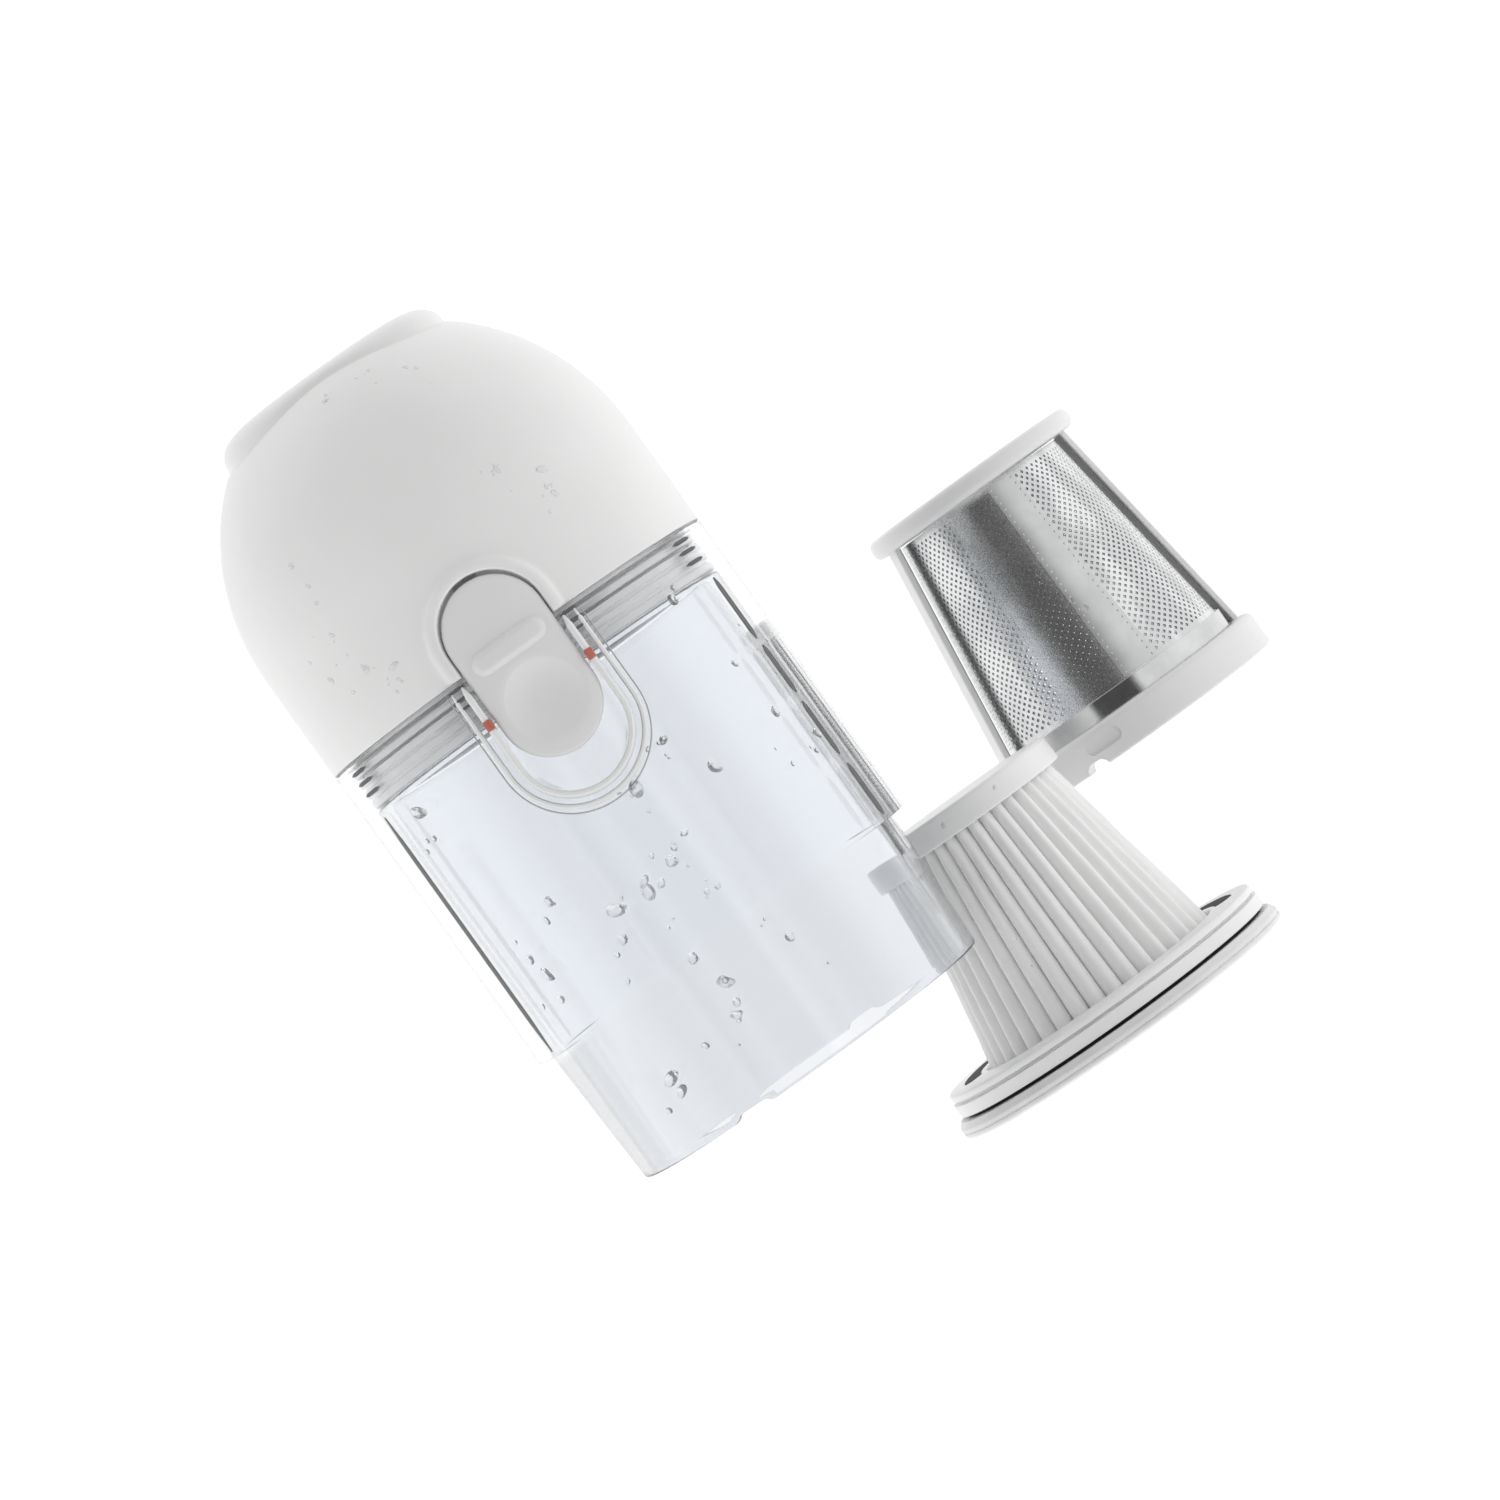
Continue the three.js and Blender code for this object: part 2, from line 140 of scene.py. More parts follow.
class Bench:
    def __init__(self, tree):
        self.tree = tree
        tree.nodes.clear()

    def add(self, kind, settings=None, sockets=None, output=0):
        node = self.tree.nodes.new("ShaderNode" + kind)
        for key, value in (settings or {}).items():
            setattr(node, key, value)
        for key, value in (sockets or {}).items():
            self.feed(node.inputs[key], value)
        return Wire(self, node.outputs[output])

    def feed(self, socket, value):
        if isinstance(value, Wire):
            self.tree.links.new(value.socket, socket)
        elif isinstance(value, (int, float)) and hasattr(socket.default_value, "__len__"):
            socket.default_value = (value, value, value, 1)[: len(socket.default_value)]
        elif isinstance(value, tuple) and len(socket.default_value) == 4:
            socket.default_value = (*value[:3], 1)
        else:
            socket.default_value = value

    def ramp(self, wire, low, high, start=0, end=1):
        settings = {"interpolation_type": "SMOOTHSTEP", "clamp": True}
        sockets = {"Value": wire, "From Min": low, "From Max": high, "To Min": start, "To Max": end}
        return self.add("MapRange", settings, sockets)

    def blend(self, factor, first, second):
        settings = {"data_type": "RGBA"}
        return self.add("Mix", settings, {0: factor, 6: first, 7: second}, 2)

    def deliver(self, kind, socket):
        output = self.tree.nodes.new("ShaderNodeOutput" + kind)
        self.tree.links.new(socket, output.inputs[0])


class Finish(Bench):  # a material, with a Principled shader that the wires feed
    def __init__(self, name, seat, **fixed):
        self.material = bpy.data.materials.new(name)
        self.material.use_nodes = True
        super().__init__(self.material.node_tree)
        self.shader = self.tree.nodes.new("ShaderNodeBsdfPrincipled")
        self.deliver("Material", self.shader.outputs[0])
        for key, value in fixed.items():
            self.set(key, value)
        sockets = {
            "Vector": self.add("TexCoord", None, None, 3),
            "Location": tuple(seat.translation),
            "Rotation": (roll, 0, 0),
            "Scale": (mm, mm, mm),
        }
        self.point = self.add("Mapping", {"vector_type": "TEXTURE"}, sockets)

    def set(self, key, value):
        self.feed(self.shader.inputs[key.replace("_", " ")], value)

    def axes(self):
        return [self.add("SeparateXYZ", None, {0: self.point}, i) for i in range(3)]

    def noise(self, scale, detail=2, stretch=None, roughness=0.5):
        point = self.point
        if stretch:
            point = self.add("VectorMath", {"operation": "MULTIPLY"}, {0: point, 1: stretch})
        sockets = {"Vector": point, "Scale": scale, "Detail": detail, "Roughness": roughness}
        return self.add("TexNoise", None, sockets)

    def bump(self, height, depth, strength=1):  # depth in mm
        sockets = {"Height": height, "Distance": depth * mm, "Strength": strength}
        self.set("Normal", self.add("Bump", None, sockets))


def plasticFinish(name, seat, colour, roughness):
    f = Finish(name, seat, IOR=1.49)
    cloud = f.noise(0.05, 3)
    speck = f.noise(1.4, 2)
    darker = tuple(c * 0.965 for c in colour)
    f.set("Base Color", f.blend(f.ramp(cloud, 0.3, 0.7), darker, colour))
    f.set("Roughness", roughness + (cloud - 0.5) * 0.08 + (speck - 0.5) * 0.06)
    f.bump(f.noise(5, 2) + f.noise(14, 1) * 0.5, 0.012, 0.35)
    return f.material


def clearFinish(name, tint, bend):
    f = Finish(name, cupSeat, IOR=bend, Transmission_Weight=1, Base_Color=tint)
    smear = f.noise(0.25, 3)
    f.set("Roughness", 0.02 + f.ramp(smear, 0.5, 0.8) * 0.03)
    f.bump(f.noise(0.09, 2), 0.02, 0.5)
    return f


def outerFinish(name, tint, bend):  # its end goes unseen where it is looked at along its plane
    f = clearFinish(name, tint, bend)
    along, across = f.axes()[:2]
    f.set("Alpha", 1 - f.ramp(along, 42.5, 42.58) * f.ramp(abs(across), 23, 20))
    return f.material


def cupFinish(name, tint, lowTint, bend):  # darker tint in soft bands beside the middle and in a strip along the spigot's edge; lowTint tints the spigot
    f = clearFinish(name, tint, bend)
    along, across = f.axes()[:2]
    darkened = f.ramp(abs(across), 2, 10) * (1 - f.ramp(abs(across), 11, 19)) * 0.35
    darkened = darkened + f.ramp(along, 43, 44) * f.ramp(across, -22, -22.6)
    tone = f.blend(f.ramp(along, 42, 43.4), tint, lowTint)
    f.set("Base Color", f.blend(darkened, tone, tuple(c * 0.8 for c in tint)))
    return f.material


def rubberFinish(name, seat, colour, bend=1.45):
    f = Finish(name, seat, IOR=bend)
    cloud = f.noise(0.2, 3)
    darker = tuple(c * 0.93 for c in colour)
    f.set("Base Color", f.blend(f.ramp(cloud, 0.35, 0.7), darker, colour))
    f.set("Roughness", 0.5 + (cloud - 0.5) * 0.2)
    f.bump(f.noise(4, 3), 0.004, 0.3)
    return f.material


def steelFinish(name, seat, colour, roughness):
    f = Finish(name, seat, Metallic=1)
    cloud = f.noise(0.3, 3)
    lines = f.noise(1.5, 3, (0.4, 9, 9))
    darker = tuple(c * 0.86 for c in colour)
    f.set("Base Color", f.blend(f.ramp(cloud, 0.3, 0.75), darker, colour))
    f.set("Roughness", roughness + (lines - 0.5) * 0.14 + (cloud - 0.5) * 0.1)
    f.bump(lines, 0.008, 0.35)
    return f.material


def paperFinish(name, seat, colour):
    f = Finish(name, seat, IOR=1.4, Sheen_Weight=0.15)
    fibre = f.noise(1.6, 4, (0.6, 2.2, 2.2), 0.65)
    cloud = f.noise(0.12, 2)
    darker = tuple(c * 0.975 for c in colour)
    f.set("Base Color", f.blend(f.ramp(fibre + cloud * 0.4, 0.35, 1.0), darker, colour))
    f.set("Roughness", 0.78 + (fibre - 0.5) * 0.2)
    f.bump(fibre, 0.05, 0.5)
    return f.material


looks = {
    "shellWhite": (0.91, 0.91, 0.905),
    "buttonWhite": (0.86, 0.86, 0.86),
    "filterWhite": (0.90, 0.90, 0.90),
    "pleatWhite": (0.98, 0.98, 0.98),
    "clearShell": (0.985, 0.99, 0.995),
    "clearTint": (0.885, 0.90, 0.922),
    "clearLow": (0.862, 0.878, 0.90),
    # painted highlight: white of the beads on the slot's rim
    "paintedHighlightWhite": (0.99, 0.995, 1.0),
    # painted shade: dark grey of the lines along the cup's sides
    "shadeLineGrey": (0.12, 0.122, 0.125),
    # painted shade: black of the ring in the flange's groove
    "grooveShadeBlack": (0.03, 0.03, 0.03),
    "neckLight": (0.985, 0.99, 0.995),
    "neckDark": (0.50, 0.51, 0.53),
    # painted shade: grey of the line outside the slot's rim
    "rimShadeGrey": (0.60, 0.61, 0.62),
    "sealWhite": (0.90, 0.90, 0.90),
    "sealGrey": (0.42, 0.44, 0.46),
    "markRed": (0.55, 0.16, 0.11),
    "paper": (0.995, 0.995, 0.99),
    "steel": (0.70, 0.705, 0.71),
    "sieveSteel": (0.63, 0.635, 0.64),
    "stripSteel": (0.72, 0.72, 0.725),
    "seamSteel": (0.72, 0.725, 0.73),
    # painted shade: dark grey of the strips under the struts
    "strutShadeGrey": (0.34, 0.34, 0.35),
}


def neckFinish(name, wash):  # cloudy, with streaks that run round it
    f = Finish(name, cupSeat, IOR=1.35)
    across = f.axes()[1]
    streak = f.noise(1, 3, (2.6, 0.05, 0.05), 0.55)
    darker = f.ramp(streak, 0.36, 0.62) * (f.ramp(abs(across), 14.5, 9) * wash)
    f.set("Base Color", f.blend(darker, looks["neckLight"], looks["neckDark"]))
    f.set("Roughness", 0.16 + streak * 0.1)
    f.bump(streak, 0.02, 0.4)
    return f.material


def paintedHighlightFinish(name, seat, colour):  # painted highlight: near-white and barely clear, standing in for the light that the rim's rounded edges catch
    f = Finish(name, seat, IOR=1.47, Transmission_Weight=0.08)
    cloud = f.noise(0.4, 2)
    f.set("Base Color", f.blend(cloud, tuple(c * 0.96 for c in colour), colour))
    f.set("Roughness", 0.12 + cloud * 0.1)
    return f.material


def waterFinish(name, clearness):  # less clear where a white wall lies under it
    f = Finish(name, cupSeat, Base_Color=(0.98, 0.98, 0.98), IOR=1.333,
               Transmission_Weight=clearness)
    f.set("Roughness", f.noise(0.6, 2) * 0.01)
    f.set("Alpha", 0.5 + f.noise(0.3, 1) * 0.3)
    f.bump(f.noise(0.5, 1), 0.02, 0.3)
    return f.material


def sieveFinish(name, seat, colour, dark, roughness):  # rolled sheet: denser strips beside the seam; near-white cloudy patches are painted sheen
    f = Finish(name, seat, Metallic=1)
    across, out = f.axes()[1:]
    swing = f.add("Math", {"operation": "ARCTAN2"}, {0: across, 1: out})
    strip = f.ramp(swing, -0.30, -0.26) * (1 - f.ramp(swing, 0.03, 0.045))
    band = f.ramp(swing, -0.49, -0.45) * (1 - f.ramp(swing, -0.30, -0.26))
    grain = f.noise(4.5, 1, roughness=0.4)
    cloud = f.noise(0.3, 3, (0.3, 1, 1))
    tone = f.blend(strip, f.blend(band * 0.35, colour, dark), dark)
    # painted sheen: cloudy patches blended towards near-white
    f.set("Base Color", f.blend(f.ramp(cloud, 0.42, 0.62) * 0.5, tone, (0.95, 0.955, 0.96)))
    f.set("Roughness", roughness + (grain - 0.5) * 0.2)
    f.bump(grain, 0.02, 0.4)
    return f.material


finishes = {
    "shell": plasticFinish("shell_satin", cupSeat, looks["shellWhite"], 0.4),
    "button": plasticFinish("button_satin", cupSeat, looks["buttonWhite"], 0.38),
    "pale": plasticFinish("pale_satin", cupSeat, looks["buttonWhite"], 0.42),
    "meshPlastic": plasticFinish("mesh_frame_satin", meshSeat, looks["filterWhite"], 0.42),
    "pleatPlastic": plasticFinish("pleat_frame_satin", pleatSeat, looks["pleatWhite"], 0.42),
    "outer": outerFinish("clear_shell", looks["clearShell"], 1.25),
    "clear": cupFinish("clear_cup", looks["clearTint"], looks["clearLow"], 1.47),
    # painted highlight beads on the slot's rim
    "bead": paintedHighlightFinish("painted_highlight_bead", cupSeat, looks["paintedHighlightWhite"]),
    # painted shade line outside the slot's rim
    "rimShadeGrey": plasticFinish("rim_shade_grey", cupSeat, looks["rimShadeGrey"], 0.3),
    # painted shade lines along the cup's sides
    "edge": plasticFinish("shade_line_grey", cupSeat, looks["shadeLineGrey"], 0.3),
    "water": waterFinish("water", 1),
    "dew": waterFinish("dew", 0.2),
    "neck": neckFinish("cloudy_neck", 0.4),
    "neckSeal": neckFinish("neck_seal", 0.7),
    "grey": rubberFinish("grey_rubber", cupSeat, looks["sealGrey"]),
    "seal": rubberFinish("seal_rubber", pleatSeat, looks["sealWhite"]),
    "red": plasticFinish("mark_red", cupSeat, looks["markRed"], 0.35),
    "paper": paperFinish("folded_fibre", pleatSeat, looks["paper"]),
    # its near-white patches are painted sheen
    "sieve": sieveFinish("sieve_steel", meshSeat, looks["sieveSteel"], looks["stripSteel"], 0.26),
    "collar": steelFinish("collar_steel", meshSeat, looks["steel"], 0.12),
    # painted shade ring in the flange's groove and slots
    "grooveShade": rubberFinish("groove_shade_black", pleatSeat, looks["grooveShadeBlack"], 1.1),
    "seam": steelFinish("seam_steel", meshSeat, looks["seamSteel"], 0.34),
    # painted shade strips under the struts
    "strutShade": plasticFinish("strut_shade_grey", meshSeat, looks["strutShadeGrey"], 0.5),
    "spring": steelFinish("spring_steel", cupSeat, looks["steel"], 0.3),
}
print("finishes", len(finishes))


# Mesh helpers, all in local mm
def around(x, radius, angle):  # angle from the button's side, towards +Y
    return Vector((x, radius * math.sin(angle), radius * math.cos(angle)))


def rounded(corners, steps=4):  # [(x, radius, fillet)] -> points with arcs at the corners
    points = []
    count = len(corners)
    for i, corner in enumerate(corners):
        here = Vector(corner[:2])
        fillet = corner[2] if len(corner) > 2 else 0
        before = Vector(corners[i - 1][:2]) - here
        after = Vector(corners[(i + 1) % count][:2]) - here
        if fillet <= 0 or before.length < 1e-6 or after.length < 1e-6:
            points.append(tuple(here))
            continue
        before.normalize()
        after.normalize()
        opening = before.angle(after)
        reach = fillet / math.tan(opening / 2)
        middle = here + (before + after).normalized() * (fillet / math.sin(opening / 2))
        start = here + before * reach - middle
        end = here + after * reach - middle
        for k in range(steps + 1):
            points.append(tuple(middle + start.slerp(end, k / steps) * fillet))
    return points


def skin(bm, rows, closeRows=True):  # quads between rows of points; each row is a ring
    verts = [[bm.verts.new(p) for p in row] for row in rows]
    count = len(rows)
    for r in range(count if closeRows else count - 1):
        here, there = verts[r], verts[(r + 1) % count]
        for i in range(len(here)):
            j = (i + 1) % len(here)
            bm.faces.new((here[i], here[j], there[j], there[i]))
    return verts


def addBar(bm, rows):  # the rows' skin with both ends closed
    verts = skin(bm, rows, closeRows=False)
    bm.faces.new(verts[0])
    bm.faces.new(verts[-1])


def turn(bm, profile, sides, closed=True):  # a profile of (x, radius) turned about the axis
    rings = []
    for x, radius in profile:
        if radius < 1e-6:
            rings.append([bm.verts.new((x, 0, 0))])
        else:
            ring = [around(x, radius, 2 * math.pi * i / sides) for i in range(sides)]
            rings.append([bm.verts.new(p) for p in ring])
    count = len(rings)
    for r in range(count if closed else count - 1):
        here, there = rings[r], rings[(r + 1) % count]
        if len(here) == 1 and len(there) == 1:
            continue
        for i in range(sides):
            j = (i + 1) % sides
            if len(here) == 1:
                bm.faces.new((here[0], there[j], there[i]))
            elif len(there) == 1:
                bm.faces.new((here[i], here[j], there[0]))
            else:
                bm.faces.new((here[i], here[j], there[j], there[i]))


def setPiece(bm, name, seat, body, slot, finish, replaces=(), sharp=34, weighted=True):
    bmesh.ops.remove_doubles(bm, verts=bm.verts, dist=1e-4)
    bmesh.ops.recalc_face_normals(bm, faces=bm.faces)
    for edge in bm.edges:
        if len(edge.link_faces) == 2 and edge.calc_face_angle(0) > math.radians(sharp):
            edge.smooth = False
    for face in bm.faces:
        face.smooth = True
    bm.transform(seat @ Matrix.Scale(mm, 4))
    mesh = bpy.data.meshes.new(name)
    bm.to_mesh(mesh)
    bm.free()
    piece = addObject(name, mesh)
    mesh.materials.append(finish)
    if weighted:
        soften = piece.modifiers.new("even normals", "WEIGHTED_NORMAL")
        soften.keep_sharp = True
    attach(piece, body)
    if replaces:
        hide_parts(*replaces)
    print("piece", name, len(mesh.polygons))
    return piece


def setRing(s, *rest):  # a piece that is nothing but its turned outline
    bm = bmesh.new()
    turn(bm, rounded(s["corners"], s["steps"]), s["sides"], s["closed"])
    setPiece(bm, *rest)


def carve(bm, *cutters):  # takes closed solids out of a closed solid
    holders = []
    for solid in (bm, *cutters):
        bmesh.ops.recalc_face_normals(solid, faces=solid.faces)
        mesh = bpy.data.meshes.new("blank")
        solid.to_mesh(mesh)
        solid.free()
        holders.append(addObject("blank", mesh))
    for tool in holders[1:]:
        cut = holders[0].modifiers.new("cut", "BOOLEAN")
        cut.operation = "DIFFERENCE"
        cut.solver = "EXACT"
        cut.object = tool
    graph = bpy.context.evaluated_depsgraph_get()
    result = bpy.data.meshes.new_from_object(holders[0].evaluated_get(graph))
    carved = bmesh.new()
    carved.from_mesh(result)
    for holder in holders:
        bpy.data.meshes.remove(holder.data)
    bpy.data.meshes.remove(result)
    return carved


# The slot across the seam: U-shaped lines at a given distance from its edge
slot = {
    "half": 6.68,
    "front": -9.5,
    "back": 19.2,
    "bodyR": 27.2,
}


def slotCentre(side):  # of its round end: 1 in the clear half, -1 in the white half
    return (slot["back"] if side > 0 else slot["front"]) - side * slot["half"]


def slotLine(offset, side, seam, straight=9, bend=36):
    half = slot["half"] + offset
    centre = slotCentre(side)
    points = [(seam + (centre - seam) * i / straight, -half) for i in range(straight)]
    for i in range(bend + 1):
        a = -math.pi / 2 + math.pi * i / bend
        points.append((centre + side * half * math.cos(a), half * math.sin(a)))
    points += [(centre + (seam - centre) * i / straight, half) for i in range(1, straight + 1)]
    return points


def slotDistance(x, angle, side):  # from the slot's edge, negative inside
    if abs(angle) >= math.pi / 2:
        return 99
    past = max(0, side * (x - slotCentre(side)))
    return math.hypot(past, slot["bodyR"] * math.sin(angle)) - slot["half"]


def profileAt(profile, d):
    if d <= profile[0][0]:
        return profile[0][1]
    for (d0, h0), (d1, h1) in zip(profile, profile[1:]):
        if d <= d1:
            return h0 + (h1 - h0) * (d - d0) / (d1 - d0)
    return profile[-1][1]


# A tube wall with its half of the slot, as a flat plan of (x, angle) and triangles
def slottedPlan(side, seam, rows, sides, profile):
    bodyR = slot["bodyR"]
    lines = [slotLine(d, side, seam) for d, h in profile]
    far = profile[-1][0]
    points, edges = [], []
    for line in lines:
        first = len(points)
        points += [(x, math.asin(y / bodyR) * bodyR) for x, y in line]
        edges += [(first + i, first + i + 1) for i in range(len(line) - 1)]
    columns = [-math.pi + 2 * math.pi * i / sides for i in range(sides + 1)]
    for x in rows:
        for angle in columns:
            if slotDistance(x, angle, side) > far + 0.3:
                points.append((x, angle * bodyR))
    plan = delaunay_2d_cdt([Vector(p) for p in points], edges, [], 0, 1e-5)
    verts = [(p.x, p.y / bodyR) for p in plan[0]]
    faces = []
    for face in plan[2]:
        x = sum(verts[i][0] for i in face) / len(face)
        angle = sum(verts[i][1] for i in face) / len(face)
        flat = [verts[i] for i in face]
        area = abs(sum(a[0] * b[1] - a[1] * b[0] for a, b in zip(flat, flat[1:] + flat[:1])))
        if slotDistance(x, angle, side) > 0 and area > 1e-6:
            faces.append(face)
    return verts, faces


def borderOf(faces):  # edges that only one face uses
    uses = {}
    for face in faces:
        for i, j in zip(face, face[1:] + face[:1]):
            uses.setdefault((min(i, j), max(i, j)), []).append((i, j))
    return [pairs[0] for pairs in uses.values() if len(pairs) == 1]


def raisePlan(bm, faces, outer, inner):
    for face in faces:
        bm.faces.new([outer[i] for i in face])
        bm.faces.new([inner[i] for i in reversed(face)])


def raiseWall(bm, verts, faces, outerAt, inside, openX=None):  # no wall across the end at openX
    outer = [bm.verts.new(around(x, outerAt(x, a), a)) for x, a in verts]
    inner = [bm.verts.new(around(x, inside, a)) for x, a in verts]
    raisePlan(bm, faces, outer, inner)
    for i, j in borderOf(faces):
        ends = (verts[i], verts[j])
        wraps = all(abs(abs(angle) - math.pi) < 1e-6 for x, angle in ends)
        opens = openX is not None and all(abs(x - openX) < 1e-5 for x, angle in ends)
        if not wraps and not opens:
            bm.faces.new((outer[j], outer[i], inner[i], inner[j]))


# Clear outer shell
outerShell = {
    "radius": 27.2,
    "wall": 1.5,
    "end": 42.7,
    "endRound": 0.15,
    "sides": 180,
    "rim": [(0, 0.32), (0.1, 0.46), (0.28, 0.55), (1.0, 0.57), (1.85, 0.55), (2.1, 0.46),
            (2.3, 0.26), (2.45, 0.08), (2.7, 0), (3.2, 0)],
}


def edgeDrop(distance, fillet):  # how far a rounded edge falls at a distance from the end
    if distance >= fillet:
        return 0
    return fillet - math.sqrt(max(0, fillet**2 - (fillet - distance) ** 2))


def makeOuterShell():
    s = outerShell
    seam = gap / 2
    near = [0, 0.05, 0.15, 0.4]
    rows = [seam + d for d in near] + [seam + 0.4 + i * 1.05 for i in range(1, 40)]
    rows += [s["end"] - d for d in (0.8, 0.45, 0.3, 0.17, 0.07, 0)]
    verts, faces = slottedPlan(1, seam, rows, s["sides"], s["rim"])

    def outerAt(x, angle):
        lift = profileAt(s["rim"], slotDistance(x, angle, 1))
        drop = edgeDrop(s["end"] - x, s["endRound"]) + edgeDrop(x - seam, 0.15)
        return s["radius"] + lift - drop

    bm = bmesh.new()
    raiseWall(bm, verts, faces, outerAt, s["radius"] - s["wall"])
    setPiece(bm, "clear_outer_shell", cupSeat, "cup", "clear_plastic", finishes["outer"],
             ["outer_shell"])


# Painted light on the clear half of the slot's rim: two near-white beads as painted highlights, and a
# grey line outside them as painted shade
paintedRimLines = {
    "lines": [(0.5, 0.46, "bead"), (1.95, 0.34, "bead"), (2.8, 0.1, "rimShadeGrey")],  # offset, radius
    "start": 0.5,
}


def sweep(bm, path, radius, sides=8):  # a thin bead along a path of (point, outward) pairs
    rows = []
    for i, (spot, out) in enumerate(path):
        ahead = path[min(i + 1, len(path) - 1)][0] - path[max(i - 1, 0)][0]
        across = ahead.cross(out).normalized()
        up = across.cross(ahead).normalized()
        scale = radius * min(1, 0.2 + 0.4 * min(i, len(path) - 1 - i))
        rows.append([spot + across * math.cos(2 * math.pi * k / sides) * scale
                     + up * math.sin(2 * math.pi * k / sides) * scale for k in range(sides)])
    addBar(bm, rows)


def makePaintedRimLines():
    for index, (offset, radius, finish) in enumerate(paintedRimLines["lines"]):
        bm = bmesh.new()
        path = []
        for x, y in slotLine(offset, 1, paintedRimLines["start"], straight=14, bend=60):
            r = outerShell["radius"] + profileAt(outerShell["rim"], offset) - radius * 0.35
            angle = math.asin(y / slot["bodyR"])
            path.append((around(x, r, angle), around(0, 1, angle)))
        sweep(bm, path, radius)
        names = ("slot_rim_inner_painted_highlight", "slot_rim_outer_painted_highlight", "slot_rim_painted_shade_line")
        setPiece(bm, names[index], cupSeat, "cup", "clear_plastic", finishes[finish])


# Painted shade: dark lines along both sides, between the two clear walls, standing in for the dark
# edges that the clear walls show; with dark dashes round the neck and short dark rungs on the rim
paintedShadeLines = {
    "radius": 26.6,
    "parts": [  # degrees from the button, start, end, width in mm
        (-65, 7.5, 42, 1.1),
        (65, 7, 16, 1.1), (65.5, 17, 24, 1.2), (65, 25.2, 33, 1.1), (65.5, 34.4, 42, 1.2),
    ],
    "dashes": (57, 67),  # degrees
    "dashX": (1.3, 2.7, 4.2),
    "rungX": (0.7, 1.9, 3.0),  # short rungs on the rim, between the seam and the red marks
}


def makePaintedShadeLines():
    bm = bmesh.new()
    r = paintedShadeLines["radius"]
    arcs = [(x, side * paintedShadeLines["dashes"][0], side * paintedShadeLines["dashes"][1], 0.5)
            for x in paintedShadeLines["dashX"] for side in (-1, 1)]
    rungs = [(x, side * 14.6, side * 19.6, 0.34) for x in paintedShadeLines["rungX"] for side in (-1, 1)]
    for height, marks in ((r, arcs), (outerShell["radius"] + 0.5, rungs)):
        for x, first, last, width in marks:
            path = []
            for i in range(11):
                a = math.radians(first + (last - first) * i / 10)
                path.append((around(x, height, a), around(0, 1, a)))
            sweep(bm, path, width / 2, 6)
    for degrees, start, end, width in paintedShadeLines["parts"]:
        half = width / 2 / r
        rows = []
        for i in range(21):
            x = start + (end - start) * i / 20
            taper = min(1, 0.25 + 0.3 * min(i, 20 - i))
            a = math.radians(degrees)
            rows.append([around(x, r + h, a + w * half * taper)
                         for h, w in ((-0.08, -1), (-0.08, 1), (0.08, 1), (0.08, -1))])
        addBar(bm, rows)
    setPiece(bm, "painted_shade_lines", cupSeat, "cup", "clear_plastic", finishes["edge"])


# Red marks on both sides of the button
marks = {
    "radius": 27.75,
    "size": (1.4, 1, 0.8),
    "bevel": 0.2,
}


def makeMarks():
    for node, side in (("lock_mark_left", -1), ("lock_mark_right", 1)):
        low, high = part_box(node)
        spot = cupSeat.inverted() @ ((low + high) / 2) / mm
        angle = math.atan2(spot.y, spot.z)
        bm = bmesh.new()
        made = bmesh.ops.create_cube(bm, size=1)
        size = Matrix.Diagonal((*marks["size"], 1))
        centre = Matrix.Translation(around(spot.x, marks["radius"], angle))
        place = centre @ Matrix.Rotation(-angle, 4, "X")
        bmesh.ops.transform(bm, matrix=place @ size, verts=made["verts"])
        bmesh.ops.bevel(bm, geom=bm.edges[:], offset=marks["bevel"], segments=3, profile=0.5,
                        affect="EDGES")
        setPiece(bm, node + "_block", cupSeat, "cup", "red_plastic", finishes["red"], [node])


# White front shell: dome, oval nozzle collar and its half of the slot
frontShell = {
    "radius": 27.2,
    "wall": 1.8,
    "domeStart": -14.4,
    "domeLength": 29,
    "nozzleFace": -41,
    "nozzleWidth": 16,
    "nozzleDepth": 13.9,
    "squareness": 2.5,
    "rimRound": (2.8, 3.6),  # along the axis, across it
    "bore": 12.1,
    "crease": 0.5,
    "domeSteps": 36,
    "rimSteps": 12,
    "sides": 180,
    "rim": [(0, 0.30), (0.1, 0.44), (0.26, 0.53), (0.8, 0.56), (1.15, 0.5), (1.4, 0.34),
            (1.6, 0.15), (1.8, 0.04), (2.1, 0), (2.6, 0)],
}


def ovalPoint(width, angle, spread):  # squarish oval; spread = half width - half depth
    power = 2 / frontShell["squareness"]
    s, c = math.sin(angle), math.cos(angle)
    y = width * math.copysign(abs(s) ** power, s)
    z = (width - spread) * math.copysign(abs(c) ** power, c)
    return y, z


def ovalRadius(width, angle, spread):  # how far the oval reaches at a true angle
    power = frontShell["squareness"]
    s, c = abs(math.sin(angle)), abs(math.cos(angle))
    return ((s / width) ** power + (c / (width - spread)) ** power) ** (-1 / power)


